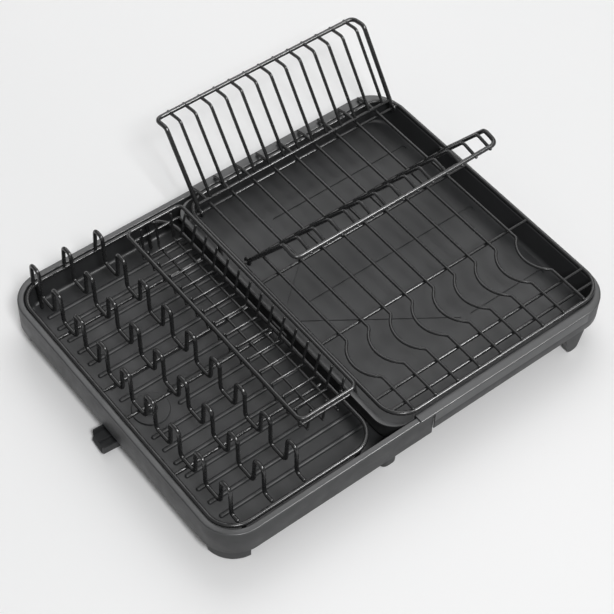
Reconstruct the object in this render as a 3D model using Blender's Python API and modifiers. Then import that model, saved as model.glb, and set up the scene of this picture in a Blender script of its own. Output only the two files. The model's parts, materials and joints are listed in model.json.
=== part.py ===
"""Extendable dish drying rack: two plastic drip trays, wire racks and a cutlery basket.

Lengths are millimetres in the design frame and metres in Blender. In the design frame
X runs along the long side from the base tray's left end, Y runs from front to back
with 0 on the trays' middle plane, and Z is 0 on the surface that the feet stand on.
"""
import math

import bmesh
import bpy
from mathutils import Vector

MM = 0.001
GAP = 0.3                 # between pieces that touch
WELD = 0.6                # depth to which welded wires sink into each other

# Base tray
DEPTH = 338.0             # front to back, over the skirts
BASE_LENGTH = 224.5
RIM_HEIGHT = 48.0         # top of the base tray's rim above the table
RIM_WIDTH = 6.0
CORNER_R = 34.0
WALL = 1.6
SKIRT_DROP = 29.0
FLOOR_DROP = 31.0         # tray floor below the rim
FLOOR_FILLET = 4.0
WALL_DRAFT = 1.0
END_SILL = 2.2            # height of the sill that closes the floor's open end
RIB_MARGIN = 36.2         # from the skirts to the outermost ribs, on average
RIB_COUNT = 17
RIB_R = 2.5
RIB_RISE = 1.9
RIB_START = 26.0          # from the left end
RIB_CENTRE_Y = 7.0
CORNER_SEGMENTS = 6

# Extension tray
EXT_REACH = 217.7         # length that shows beyond the base tray
EXT_NEST = 43.8           # length that sits inside the base tray
EXT_WALL = 1.2
EXT_FLANGE_OVERLAP = 15.3
EXT_END_RIM = 6.0         # width of the rim along the far end
EXT_SKIRT_DROP = 21.0
EXT_FLOOR_DROP = 27.0
EXT_LIP_DROP = 3.2        # the nested end's rim below the base tray's rim
EXT_LIP_WIDTH = 4.7
EXT_LIP_THICK = 2.4
EXT_INNER_R = 20.0        # corners of the nested end
OUTLET_WIDTH = 24.0
OUTLET_HEIGHT = 7.0
SLIDE_IN = 9.0            # travel with both racks in place

# Feet
PAD_THICK = 1.5
PAD_INSET = 1.2
CORNER_FOOT_R = 29.0
CORNER_FOOT_INNER_R = 13.0
CORNER_FOOT_ANGLE = 78.0
SIDE_FOOT_LENGTH = 17.0
SIDE_FOOT_WIDTH = 12.0
SIDE_FOOT_FROM_END = 42.0  # centre, from the base tray's open end
SIDE_FOOT_FROM_SKIRT = 10.5
FIN_THICK = 5.6
FIN_WIDTH = 26.0          # at the top
FIN_FOOT = 12.0           # at the bottom
FIN_FROM_END = 57.0       # tip of the long side's fin, from the extension tray's end
FIN_FROM_SKIRT = 4.8      # its middle plane, from the extension tray's skirt
CORNER_FIN_FROM_END = 19.0
CORNER_FIN_FROM_SIDE = 17.0
CORNER_FIN_WIDTH = 20.0
CORNER_FIN_YAW = 40.0

# Drain and spout
DRAIN_X = 43.6
DRAIN_DISC_R = 17.5
DRAIN_DISC_THICK = 1.2
DRAIN_KNOB_R = 5.5
DRAIN_KNOB_HEIGHT = 7.0
STEM_R = 6.5
STEM_CLEARANCE = 0.5
DRAIN_SLOT_WIDTH = 4.6
SPOUT_LENGTH = 56.0       # drain axis to spout tip
SPOUT_WIDTH = 23.0
SPOUT_HUB_R = 15.0
SPOUT_HEIGHT = 8.0
SPOUT_WALL = 1.6
SPOUT_UNDER_FLOOR = 2.4   # the seal's thickness and its gaps
SPOUT_REST_ANGLE = -4.0
SEAL_R = 12.0

# Wire sizes (radii)
FRAME_R = 2.1
CROSS_R = 1.6
TOP_WIRE_R = 1.5
THIN_R = 1.6
PRONG_R = 1.9
LEG_R = 1.85
FENCE_R = 2.2

# Dish rack
DISH_END_CLEAR = 0.5      # frame wire to the rim's inner edge, at the left end
DISH_SIDE_CLEAR = 1.9
DISH_NEST_CLEAR = 10.5    # frame wire's middle to the extension tray's nested end
DISH_DROP = 0.6           # frame wire below the base rim
DISH_R = 25.0
DISH_LEG_INSET = 20.0
DISH_LEG_LEAN = 6.0
PRONG_FIRST_X = 16.4      # from the frame's left wire
PRONG_LAST_X = 21.0       # last column from the basket's left rail
PRONG_COLUMNS = 3
LOOPS = 9
LOOP_LAST = 21.9          # middle of the last loop, from the frame's front wire
LOOP_FIRST = 9.7          # middle of the first loop, from the frame's back wire
LOOP_BASE = 14.6
LOOP_TOP = 12.0
LOOP_HEIGHT = 33.4
CROSS_LINKS = (1, 3, 4, 6)   # links between loops that have a cross wire under them

# Cutlery basket
BASKET_BACK = 23.2        # from the dish rack's back wire
BASKET_WIDTH = 60.2
BASKET_OVERHANG = 4.0     # past the dish rack's right wire
BASKET_FRONT = 37.2       # from the dish rack's front wire
BASKET_HEIGHT = 29.5
BASKET_R = 6.0
BASKET_DRAFT = 6.0
BASKET_END_DRAFT = 3.0
BASKET_MID_DROP = 12.0
BASKET_RAIL_R = 1.9
BASKET_WIRE_R = 1.25
BASKET_WIRES = 15
BASKET_LONG_WIRES = 3
BASKET_END_ROW = 12.25    # first and last wire from the end rails
BASKET_LONG_PITCH = 16.6

# Cup rack
CUP_LEFT_INSET = 9.1      # frame wire from the extension tray's nested end
CUP_RIGHT_INSET = 4.2     # frame wire from the extension tray's far end
CUP_FRONT = 10.3          # frame wire's inset from the base tray's skirt
CUP_BACK = 14.8
CUP_R = 24.5
CUP_CROSS = (191.9, 104.4, 29.4, 12.0)   # cross wires from the front wire
BAR_COUNT = 9
BAR_LAST = 25.9           # from the frame's right wire
BAR_FIRST = 19.5          # from the frame's left wire
SCALLOP_START = 13.3      # past the second cross wire
SCALLOP_CHORD = 47.4
SCALLOP_DEPTH = 12.3
SCALLOP_STEPS = 8
NUB_OVERHANG = 13.5
CUP_LEG_Y = 100.0
CUP_LEG_LEAN = 5.0

# Fences on the cup rack
PIVOT_BACK_INSET = 18.7   # from the cup rack's back wire
PIVOT_SPACING = 73.8
FENCE_LEFT_INSET = 6.6    # posts from the cup rack's side wires
FENCE_RIGHT_INSET = 6.8
FENCE_POST = 88.0
FENCE_LEAN = 36.1         # from upright
FENCE_TOP = 17.1
FENCE_TOP_TURN = 64.0     # bend between the post and the top
FENCE_RAIL_UP = 8.6
FENCE_RAIL_R = 1.6
FENCE_NUB = 3.6           # inner wires' ends past the top rail's middle
FENCE_WIRES = 13
FENCE_FIRST_WIRE = 15.6
FENCE_LAST_WIRE = 9.2
EYE_R = 1.4

# Worked out from the sizes above
HALF = DEPTH / 2
EXT_HALF = HALF + GAP + EXT_WALL
EXT_RIGHT = BASE_LENGTH + EXT_REACH
EXT_LEFT = BASE_LENGTH - EXT_NEST
EXT_TOP = RIM_HEIGHT + GAP + EXT_WALL
FLOOR_Z = RIM_HEIGHT - FLOOR_DROP
FLOOR_UNDER = FLOOR_Z - WALL
EXT_FLOOR_Z = RIM_HEIGHT - EXT_FLOOR_DROP
RIB_PITCH = (DEPTH - 2 * RIB_MARGIN) / (RIB_COUNT - 1)
DISH_LEFT = RIM_WIDTH + DISH_END_CLEAR + FRAME_R
DISH_LENGTH = EXT_LEFT - DISH_NEST_CLEAR - DISH_LEFT
DISH_DEPTH = DEPTH - 2 * (RIM_WIDTH + DISH_SIDE_CLEAR + FRAME_R)
LOOP_PITCH = (DISH_DEPTH - LOOP_FIRST - LOOP_LAST) / (LOOPS - 1)
BASKET_LEFT = DISH_LENGTH + BASKET_OVERHANG - BASKET_WIDTH
BASKET_LENGTH = DISH_DEPTH - BASKET_FRONT - BASKET_BACK
BASKET_WIRE_PITCH = (BASKET_LENGTH - 2 * BASKET_END_ROW) / (BASKET_WIRES - 1)
PRONG_SPACING = (BASKET_LEFT - PRONG_LAST_X - PRONG_FIRST_X) / (PRONG_COLUMNS - 1)
PRONG_END_ROOM = FRAME_R / 0.7      # from the middle of the frame wire
CUP_LEFT = EXT_LEFT + CUP_LEFT_INSET
CUP_LENGTH = EXT_RIGHT - CUP_RIGHT_INSET - CUP_LEFT
CUP_CROSS_Y = tuple(CUP_FRONT - HALF + inset for inset in CUP_CROSS)
BAR_PITCH = (CUP_LENGTH - BAR_FIRST - BAR_LAST) / (BAR_COUNT - 1)
PIVOT_BACK_Y = HALF - CUP_BACK - PIVOT_BACK_INSET
PIVOT_FRONT_Y = PIVOT_BACK_Y - PIVOT_SPACING
DISH_Z = RIM_HEIGHT - DISH_DROP
CROSS_Z = DISH_Z - PRONG_R - CROSS_R - GAP
CUP_Z = EXT_TOP + 2 * GAP + FRAME_R
BAR_Z = CUP_Z + CROSS_R + GAP + TOP_WIRE_R + 0.1
BASKET_LONG_Z = CROSS_Z + CROSS_R + GAP + BASKET_WIRE_R
BASKET_FLOOR_Z = BASKET_LONG_Z + 2 * BASKET_WIRE_R - WELD
BASKET_TOP_Z = BASKET_FLOOR_Z + BASKET_HEIGHT
FENCE_BACK_Y = (PIVOT_BACK_Y + FENCE_POST * math.sin(math.radians(FENCE_LEAN))
                + (FENCE_TOP + FENCE_NUB) * math.sin(math.radians(FENCE_LEAN + FENCE_TOP_TURN)))
ORIGIN = ((DRAIN_X - SPOUT_LENGTH + EXT_RIGHT) / 2, (FENCE_BACK_Y - EXT_HALF) / 2, 0.0)

PLASTIC = ("tray_plastic", (0.035, 0.037, 0.040, 1.0), 0.45, 0.0)
WIRE = ("coated_wire", (0.030, 0.031, 0.034, 1.0), 0.35, 0.2)
RUBBER = ("rubber", (0.012, 0.012, 0.013, 1.0), 0.8, 0.0)


def place(x, y, z):
    """Design millimetres to world metres."""
    return Vector((x - ORIGIN[0], y - ORIGIN[1], z - ORIGIN[2])) * MM


def new_collection(name):
    collection = bpy.data.collections.new(name)
    bpy.context.scene.collection.children.link(collection)
    return collection


def clear_scene():
    for obj in list(bpy.data.objects):
        bpy.data.objects.remove(obj, do_unlink=True)


def material(name, colour, roughness, metallic):
    found = bpy.data.materials.new(name)
    found.use_nodes = True
    shader = found.node_tree.nodes["Principled BSDF"]
    shader.inputs["Base Color"].default_value = colour
    shader.inputs["Roughness"].default_value = roughness
    shader.inputs["Metallic"].default_value = metallic
    return found


def finish(obj, name, finish_values):
    """Name a part, give it its own material and put it in the part's collection."""
    obj.name = name
    obj.data.name = name
    obj.data.materials.clear()
    obj.data.materials.append(material(name + "_" + finish_values[0], *finish_values[1:]))
    obj.data.shade_smooth()
    obj.data.set_sharp_from_angle(angle=math.radians(35))
    for collection in list(obj.users_collection):
        collection.objects.unlink(obj)
    PARTS.objects.link(obj)
    return obj


def mesh_object(bm, name="solid"):
    bmesh.ops.recalc_face_normals(bm, faces=bm.faces)
    mesh = bpy.data.meshes.new(name)
    bm.to_mesh(mesh)
    bm.free()
    obj = bpy.data.objects.new(name, mesh)
    bpy.context.scene.collection.objects.link(obj)
    return obj


def baked(obj):
    """Replace an object by the mesh that its curve or modifiers make."""
    depsgraph = bpy.context.evaluated_depsgraph_get()
    mesh = bpy.data.meshes.new_from_object(obj.evaluated_get(depsgraph))
    bm = bmesh.new()
    bm.from_mesh(mesh)
    bmesh.ops.remove_doubles(bm, verts=bm.verts, dist=0.00001)
    bm.to_mesh(mesh)
    bm.free()
    result = bpy.data.objects.new(obj.name + "_mesh", mesh)
    result.matrix_world = obj.matrix_world
    bpy.context.scene.collection.objects.link(result)
    bpy.data.objects.remove(obj, do_unlink=True)
    return result


def combine(first, others, operation):
    """Join or cut with every other object at once, and use the tools up."""
    tools = new_collection("tools")
    for tool in others:
        for collection in list(tool.users_collection):
            collection.objects.unlink(tool)
        tool.hide_render = True
        tool.display_type = "WIRE"
        tools.objects.link(tool)
    step = first.modifiers.new("combine", "BOOLEAN")
    step.operation = operation
    step.operand_type = "COLLECTION"
    step.collection = tools
    step.solver = "EXACT"
    result = baked(first)
    for tool in others:
        bpy.data.objects.remove(tool, do_unlink=True)
    bpy.data.collections.remove(tools)
    return result


def wire(points, radius, closed=False, sides=2):
    """A round wire through design points, as a mesh with welded end caps."""
    curve = bpy.data.curves.new("wire", "CURVE")
    curve.dimensions = "3D"
    curve.twist_mode = "MINIMUM"
    curve.bevel_depth = radius * MM
    curve.bevel_resolution = sides
    curve.use_fill_caps = True
    spline = curve.splines.new("POLY")
    spline.points.add(len(points) - 1)
    for target, point in zip(spline.points, points):
        target.co = (*place(*point), 1.0)
    spline.use_cyclic_u = closed
    obj = bpy.data.objects.new("wire", curve)
    bpy.context.scene.collection.objects.link(obj)
    bpy.context.view_layer.update()
    return baked(obj)


def bent(points, radius, steps=3):
    """A path through corner points, with every inner corner rounded."""
    path = [Vector(points[0])]
    for before, corner, after in zip(points, points[1:], points[2:]):
        before, corner, after = Vector(before), Vector(corner), Vector(after)
        into, out = (corner - before), (after - corner)
        turn = into.angle(out)
        if turn < 0.02:
            path.append(corner)
            continue
        reach = min(radius * math.tan(turn / 2), into.length * 0.49, out.length * 0.49)
        start, end = corner - into.normalized() * reach, corner + out.normalized() * reach
        for step in range(steps + 1):
            t = step / steps
            path.append(start * (1 - t) ** 2 + corner * 2 * t * (1 - t) + end * t ** 2)
    path.append(Vector(points[-1]))
    return path


def round_rect(x0, x1, y0, y1, radius_left, radius_right=None, steps=CORNER_SEGMENTS):
    """Corner points of a rounded rectangle, counter-clockwise from the front right."""
    radius_right = radius_left if radius_right is None else radius_right
    corners = ((x1, y0, radius_right, 270), (x1, y1, radius_right, 0),
               (x0, y1, radius_left, 90), (x0, y0, radius_left, 180))
    points = []
    for x, y, radius, start in corners:
        cx = x - radius if x == x1 else x + radius
        cy = y + radius if y == y0 else y - radius
        for step in range(steps + 1):
            angle = math.radians(start + 90 * step / steps)
            points.append((cx + radius * math.cos(angle), cy + radius * math.sin(angle)))
    return points


def corner_inset(distance, radius):
    """How far a rounded outline lies inside its square edge, near a corner."""
    inside = max(radius - distance, 0.0)
    return radius - math.sqrt(radius ** 2 - inside ** 2)


def prism(outline, bottom, top):
    """An upright solid from a plan outline."""
    bm = bmesh.new()
    face = bm.faces.new([bm.verts.new(place(x, y, bottom)) for x, y in outline])
    swept = bmesh.ops.extrude_face_region(bm, geom=[face])
    raised = [v for v in swept["geom"] if isinstance(v, bmesh.types.BMVert)]
    bmesh.ops.translate(bm, verts=raised, vec=(0, 0, (top - bottom) * MM))
    return mesh_object(bm, "prism")


def box(x0, x1, y0, y1, z0, z1):
    bm = bmesh.new()
    bmesh.ops.create_cube(bm, size=1.0)
    bmesh.ops.scale(bm, verts=bm.verts, vec=((x1 - x0) * MM, (y1 - y0) * MM, (z1 - z0) * MM))
    bmesh.ops.translate(bm, verts=bm.verts,
                        vec=place((x0 + x1) / 2, (y0 + y1) / 2, (z0 + z1) / 2))
    return mesh_object(bm, "box")


def turned(profile, x, y, segments=32):
    """A solid turned about an upright axis; the profile runs from top to bottom."""
    mesh = bpy.data.meshes.new("profile")
    mesh.from_pydata([(r * MM, 0, z * MM) for r, z in profile],
                     [(i, i + 1) for i in range(len(profile) - 1)], [])
    obj = bpy.data.objects.new("turned", mesh)
    obj.location = place(x, y, 0)
    bpy.context.scene.collection.objects.link(obj)
    screw = obj.modifiers.new("turn", "SCREW")
    screw.axis = "Z"
    screw.steps = segments
    screw.render_steps = segments
    screw.use_merge_vertices = True
    screw.merge_threshold = 0.00001
    screw.use_normal_calculate = True
    bpy.context.view_layer.update()
    solid = baked(obj)
    bm = bmesh.new()
    bm.from_mesh(solid.data)
    bmesh.ops.recalc_face_normals(bm, faces=bm.faces)
    bm.to_mesh(solid.data)
    bm.free()
    return solid


def shell(rings, thickness):
    """A thin moulding: a skin lofted through rings from its edge to its floor."""
    bm = bmesh.new()
    loops = [[bm.verts.new(place(*point)) for point in ring] for ring in rings]
    for outer, inner in zip(loops, loops[1:]):
        count = len(outer)
        for i in range(count):
            j = (i + 1) % count
            bm.faces.new((outer[i], outer[j], inner[j], inner[i]))
    bm.faces.new(loops[-1])
    mesh = bpy.data.meshes.new("shell")
    bm.to_mesh(mesh)
    bm.free()
    obj = bpy.data.objects.new("shell", mesh)
    bpy.context.scene.collection.objects.link(obj)
    solid = obj.modifiers.new("wall", "SOLIDIFY")
    solid.thickness = thickness * MM
    solid.offset = -1.0
    solid.use_even_offset = True
    bpy.context.view_layer.update()
    return baked(obj)


def ring(inset, z, x0, x1, half, radius_left, radius_right):
    """One level ring of a tray, a given inset inside its outline."""
    left = max(radius_left - inset, 1.0)
    right = max(radius_right - inset, 1.0)
    plan = round_rect(x0 + inset, x1 - inset, -half + inset, half - inset, left, right)
    return [(x, y, z) for x, y in plan]


def rib_starts():
    """Each floor rib's place across the tray and where it starts."""
    first = RIB_CENTRE_Y - RIB_PITCH * (RIB_COUNT - 1) / 2
    for i in range(RIB_COUNT):
        y = first + RIB_PITCH * i
        past_drain = DRAIN_X + DRAIN_DISC_R + 2 * RIB_R
        yield y, past_drain if abs(y) < DRAIN_DISC_R + RIB_R + 1 else RIB_START


def base_tray():
    """The left tray, with a skirted rim on three sides and an open right end."""
    spare = 40.0
    top = RIM_HEIGHT
    inner = RIM_WIDTH
    end = BASE_LENGTH + spare
    levels = ((0, top - SKIRT_DROP), (0, top - 1.4), (0.5, top - 0.5), (1.4, top),
              (inner - 0.8, top), (inner, top - 0.8), (inner + WALL_DRAFT, FLOOR_Z + FLOOR_FILLET),
              (inner + WALL_DRAFT + FLOOR_FILLET * 0.3, FLOOR_Z + FLOOR_FILLET * 0.3),
              (inner + WALL_DRAFT + FLOOR_FILLET, FLOOR_Z))
    tray = shell([ring(i, z, 0, end, HALF, CORNER_R, CORNER_R) for i, z in levels], WALL)
    ribs = [wire([(start, y, FLOOR_Z + RIB_RISE - RIB_R), (end - 16.0, y, FLOOR_Z + RIB_RISE - RIB_R)],
                 RIB_R) for y, start in rib_starts()]
    under = [box(20, end, -HALF + 20, HALF - 20, FLOOR_UNDER - 6, FLOOR_UNDER + WALL / 2)]
    ribbed = combine(ribs[0], ribs[1:], "UNION")
    ribbed = combine(ribbed, under, "DIFFERENCE")
    tray = combine(tray, [ribbed], "UNION")
    cuts = [box(BASE_LENGTH, end + 10, -HALF - 10, HALF + 10, -10, RIM_HEIGHT + 10),
            prism([(DRAIN_X + r * math.cos(a), r * math.sin(a)) for r, a in
                   ((STEM_R + STEM_CLEARANCE, math.radians(15 * i)) for i in range(24))],
                  FLOOR_UNDER - 5, FLOOR_Z + 5)]
    tray = combine(tray, cuts, "DIFFERENCE")
    side = HALF - RIM_WIDTH - WALL_DRAFT - WALL / 2
    sill = box(BASE_LENGTH - WALL, BASE_LENGTH - 0.01, -side, side,
               FLOOR_UNDER + WALL / 2, FLOOR_Z + END_SILL)
    return finish(combine(tray, [sill], "UNION"), "base_tray", PLASTIC)


def extension_tray():
    """The right tray: its skirt runs outside the base tray's, its tub runs inside it."""
    top = EXT_TOP
    half = EXT_HALF
    tub = HALF - RIM_WIDTH - GAP - WALL_DRAFT        # outer face of the tub's side walls
    wall_in = half - tub + EXT_WALL
    left = EXT_LEFT + EXT_LIP_WIDTH - wall_in
    levels = ((0, RIM_HEIGHT - EXT_SKIRT_DROP), (0, top - 1.2), (0.4, top - 0.4), (1.2, top),
              (wall_in - 1.0, top), (wall_in, top - 1.0), (wall_in + 0.6, EXT_FLOOR_Z + FLOOR_FILLET),
              (wall_in + 0.6 + FLOOR_FILLET * 0.3, EXT_FLOOR_Z + FLOOR_FILLET * 0.3),
              (wall_in + 0.6 + FLOOR_FILLET, EXT_FLOOR_Z))
    inner_left = EXT_INNER_R + wall_in
    tray = shell([ring(i, z, left, EXT_RIGHT + (wall_in - EXT_END_RIM if i > 2 else 0), half,
                       inner_left, CORNER_R) for i, z in levels], EXT_WALL)
    flange_end = BASE_LENGTH - EXT_FLANGE_OVERLAP
    lip_top = RIM_HEIGHT - EXT_LIP_DROP
    tub_left = EXT_LEFT + EXT_LIP_WIDTH - EXT_WALL
    far = 30.0
    outside = box(left - far, BASE_LENGTH + GAP, -half - far, half + far, -far, RIM_HEIGHT + GAP)
    kept = prism(round_rect(tub_left - 0.15, BASE_LENGTH + far, -tub - 0.15, tub + 0.15,
                            EXT_INNER_R + EXT_WALL), -2 * far, RIM_HEIGHT + 2 * far)
    outside = combine(outside, [kept], "DIFFERENCE")
    above = box(left - far, flange_end, -half - far, half + far, lip_top, top + far)
    tray = combine(tray, [outside, above], "DIFFERENCE")
    ring_outer = prism(round_rect(EXT_LEFT, flange_end + far, -tub + 0.2, tub - 0.2,
                                  EXT_INNER_R + 2.0, 5.0),
                       lip_top - EXT_LIP_THICK, lip_top - 0.02)
    ring_inner = prism(round_rect(EXT_LEFT + EXT_LIP_WIDTH - 0.4, flange_end + 2 * far,
                                  -tub + EXT_WALL - 0.4, tub - EXT_WALL + 0.4, EXT_INNER_R, 5.0),
                       lip_top - EXT_LIP_THICK - far, lip_top + far)
    trim = box(flange_end - 1.0, flange_end + 2 * far, -half, half, -far, top + far)
    lip = combine(ring_outer, [ring_inner, trim], "DIFFERENCE")
    tray = combine(tray, [lip], "UNION")
    outlet = box(EXT_LEFT - far, EXT_LEFT + EXT_LIP_WIDTH + 5, -OUTLET_WIDTH / 2, OUTLET_WIDTH / 2,
                 EXT_FLOOR_Z + 0.4, EXT_FLOOR_Z + OUTLET_HEIGHT)
    return finish(combine(tray, [outlet], "DIFFERENCE"), "extension_tray", PLASTIC)


def sector(cx, cy, inner, outer, start, end, steps=8):
    """Plan outline of a part of a ring."""
    angles = [math.radians(start + (end - start) * i / steps) for i in range(steps + 1)]
    outside = [(cx + outer * math.cos(a), cy + outer * math.sin(a)) for a in angles]
    inside = [(cx + inner * math.cos(a), cy + inner * math.sin(a)) for a in reversed(angles)]
    return outside + inside


def corner_feet():
    """A foot block under each of the base tray's round corners, with a rubber pad."""
    for side, label in ((-1, "front"), (1, "back")):
        cx, cy = CORNER_R, side * (HALF - CORNER_R)
        middle = 225 if side < 0 else 135
        for name, inset, z0, z1, look in (
                ("foot", 0.0, PAD_THICK + GAP, FLOOR_UNDER - GAP, PLASTIC),
                ("pad", PAD_INSET, 0.0, PAD_THICK, RUBBER)):
            spread = CORNER_FOOT_ANGLE / 2 - math.degrees(inset / CORNER_FOOT_R)
            outline = sector(cx, cy, CORNER_FOOT_INNER_R + inset, CORNER_FOOT_R - inset,
                             middle - spread, middle + spread)
            finish(prism(outline, z0, z1), "base_%s_%s_left" % (name, label), look)


def side_feet():
    """A short foot under each of the base tray's long sides, with a rubber pad."""
    x = BASE_LENGTH - SIDE_FOOT_FROM_END
    for side, label in ((-1, "front"), (1, "back")):
        y = side * (HALF - SIDE_FOOT_FROM_SKIRT)
        for name, inset, z0, z1, look in (
                ("foot", 0.0, PAD_THICK + GAP, FLOOR_UNDER - GAP, PLASTIC),
                ("pad", PAD_INSET, 0.0, PAD_THICK, RUBBER)):
            outline = round_rect(x - SIDE_FOOT_LENGTH / 2 + inset, x + SIDE_FOOT_LENGTH / 2 - inset,
                                 y - SIDE_FOOT_WIDTH / 2 + inset, y + SIDE_FOOT_WIDTH / 2 - inset,
                                 SIDE_FOOT_WIDTH / 2 - inset - 0.5, steps=4)
            finish(prism(outline, z0, z1), "base_%s_%s_right" % (name, label), look)


def fin(width, foot, top, x, y, yaw):
    """An upright fin with a round foot, turned about its own upright axis."""
    bottom_r = foot / 2
    profile = [(-width / 2, top), (-width / 2, top - 4.0)]
    profile += [(-bottom_r * math.cos(a), bottom_r * (1 - math.sin(a)) * 0.7)
                for a in (math.radians(15 + 25 * i) for i in range(7))]
    profile += [(width / 2, top - 4.0), (width / 2, top)]
    bm = bmesh.new()
    turn = math.radians(yaw)
    across = Vector((math.cos(turn), math.sin(turn), 0))
    depth = Vector((-math.sin(turn), math.cos(turn), 0)) * FIN_THICK
    start = Vector((x, y, 0)) - depth / 2
    face = bm.faces.new([bm.verts.new(place(*(start + across * u + Vector((0, 0, z)))))
                         for u, z in profile])
    swept = bmesh.ops.extrude_face_region(bm, geom=[face])
    moved = [v for v in swept["geom"] if isinstance(v, bmesh.types.BMVert)]
    bmesh.ops.translate(bm, verts=moved, vec=depth * MM)
    return mesh_object(bm, "fin")


def fin_feet():
    """Two fins under each of the extension tray's far corners."""
    low = EXT_FLOOR_Z - EXT_WALL - GAP
    for side, label in ((-1, "front"), (1, "back")):
        x = EXT_RIGHT - FIN_FROM_END + FIN_WIDTH / 2
        y = side * (EXT_HALF - FIN_FROM_SKIRT)
        finish(fin(FIN_WIDTH, FIN_FOOT, RIM_HEIGHT - EXT_SKIRT_DROP + 8.0, x, y, 0),
               "extension_fin_" + label, PLASTIC)
        x = EXT_RIGHT - CORNER_FIN_FROM_END
        y = side * (EXT_HALF - CORNER_FIN_FROM_SIDE)
        finish(fin(CORNER_FIN_WIDTH, FIN_FOOT, low, x, y, -side * CORNER_FIN_YAW),
               "extension_corner_fin_" + label, PLASTIC)


def drain():
    """The slotted drain disc with its knob and stem, which turn with the spout."""
    disc_top = FLOOR_Z + GAP + DRAIN_DISC_THICK
    knob_top = disc_top + DRAIN_KNOB_HEIGHT
    stem_bottom = FLOOR_UNDER - SPOUT_UNDER_FLOOR + GAP
    profile = [(0, knob_top), (DRAIN_KNOB_R * 0.6, knob_top - 0.3), (DRAIN_KNOB_R * 0.9, knob_top - 1.6),
               (DRAIN_KNOB_R, knob_top - 3.0), (DRAIN_KNOB_R, disc_top + 0.8),
               (DRAIN_KNOB_R + 0.8, disc_top), (DRAIN_DISC_R - 0.6, disc_top),
               (DRAIN_DISC_R, disc_top - 0.6), (DRAIN_DISC_R, disc_top - DRAIN_DISC_THICK),
               (STEM_R, disc_top - DRAIN_DISC_THICK), (STEM_R, stem_bottom), (0, stem_bottom)]
    disc = turned(profile, DRAIN_X, 0)
    bore = prism([(DRAIN_X + 4.2 * math.cos(math.radians(22.5 * i)),
                   4.2 * math.sin(math.radians(22.5 * i))) for i in range(16)],
                 stem_bottom - 5, disc_top - 0.4)
    reach = DRAIN_DISC_R - 2.5
    slots = [box(DRAIN_X - reach, DRAIN_X + reach, -DRAIN_SLOT_WIDTH / 2, DRAIN_SLOT_WIDTH / 2,
                 FLOOR_Z - 0.6, FLOOR_Z + GAP + 0.7),
             box(DRAIN_X - DRAIN_SLOT_WIDTH / 2, DRAIN_X + DRAIN_SLOT_WIDTH / 2, -reach, reach,
                 FLOOR_Z - 0.6, FLOOR_Z + GAP + 0.7)]
    return finish(combine(disc, [bore] + slots, "DIFFERENCE"), "drain_disc", PLASTIC)


def seal():
    """The flat rubber washer between the tray floor and the spout."""
    z0 = FLOOR_UNDER - SPOUT_UNDER_FLOOR + GAP
    z1 = FLOOR_UNDER - GAP
    inner = STEM_R + STEM_CLEARANCE
    profile = [(inner, z1), (SEAL_R, z1), (SEAL_R, z0), (inner, z0), (inner, z1)]
    return finish(turned(profile, DRAIN_X, 0), "drain_seal", RUBBER)


def spout():
    """The open swivel channel under the left end, with its round hub on the drain axis."""
    top = FLOOR_UNDER - SPOUT_UNDER_FLOOR
    bottom = top - SPOUT_HEIGHT
    half = SPOUT_WIDTH / 2

    def outline(inset, tip):
        hub = SPOUT_HUB_R - inset
        side = half - inset
        start = math.degrees(math.asin(side / hub))
        arc = [math.radians(-180 + start + (360 - 2 * start) * i / 20) for i in range(21)]
        points = [(hub * math.cos(a), hub * math.sin(a)) for a in arc]
        return points + [(-SPOUT_LENGTH + tip + 4.0, side), (-SPOUT_LENGTH + tip, side - 5.0),
                         (-SPOUT_LENGTH + tip, -side + 2.0), (-SPOUT_LENGTH + tip + 1.5, -side)]

    turn = math.radians(SPOUT_REST_ANGLE)

    def spun(points):
        return [(DRAIN_X + x * math.cos(turn) - y * math.sin(turn),
                 x * math.sin(turn) + y * math.cos(turn)) for x, y in points]

    channel = prism(spun(outline(0, 0)), bottom, top)
    hollow = prism(spun(outline(SPOUT_WALL, -10)), bottom + SPOUT_WALL, top + 10)
    channel = combine(channel, [hollow], "DIFFERENCE")
    ridge = prism(spun([(-SPOUT_LENGTH + 3, -0.9), (-SPOUT_HUB_R, -0.9),
                        (-SPOUT_HUB_R, 0.9), (-SPOUT_LENGTH + 3, 0.9)]),
                  bottom + SPOUT_WALL / 2, bottom + SPOUT_HEIGHT * 0.62)
    collar_in = STEM_R - 1.6
    post = turned([(collar_in, top - 0.02), (STEM_R + 3.0, top - 0.02), (STEM_R + 3.0, top - 2.2),
                   (collar_in, top - 2.2), (collar_in, top - 0.02)], DRAIN_X, 0)
    arms = [prism(spun([(-SPOUT_HUB_R + 1, -1.5), (-STEM_R, -1.5), (-STEM_R, 1.5),
                        (-SPOUT_HUB_R + 1, 1.5)]), bottom + 0.8, top - 0.4),
            prism(spun([(STEM_R, -1.5), (SPOUT_HUB_R - 0.8, -1.5), (SPOUT_HUB_R - 0.8, 1.5),
                        (STEM_R, 1.5)]), bottom + 0.8, top - 0.4)]
    return finish(combine(channel, [ridge, post] + arms, "UNION"), "drain_spout", PLASTIC)


def dish_rack():
    """Frame wire, four cross wires and four legs, welded into one grille."""
    x0, x1 = DISH_LEFT, DISH_LEFT + DISH_LENGTH
    half = DISH_DEPTH / 2
    frame = wire([(x, y, DISH_Z) for x, y in round_rect(x0, x1, -half, half, DISH_R, steps=7)],
                 FRAME_R, closed=True)
    pieces = []
    for y in cross_wire_ys():
        rise = FRAME_R + CROSS_R - WELD
        ends = [(x0, y, DISH_Z - rise), (x0 + 6, y, CROSS_Z), (x1 - 6, y, CROSS_Z),
                (x1 - 1.0, y, DISH_Z - rise)]
        pieces.append(wire(ends, CROSS_R))
    return finish(combine(frame, pieces, "UNION"), "dish_rack_frame", WIRE)


def leg(top, bottom, name):
    """A wire leg that stands just under a frame wire."""
    return finish(wire([top, bottom], LEG_R), name, WIRE)


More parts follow.
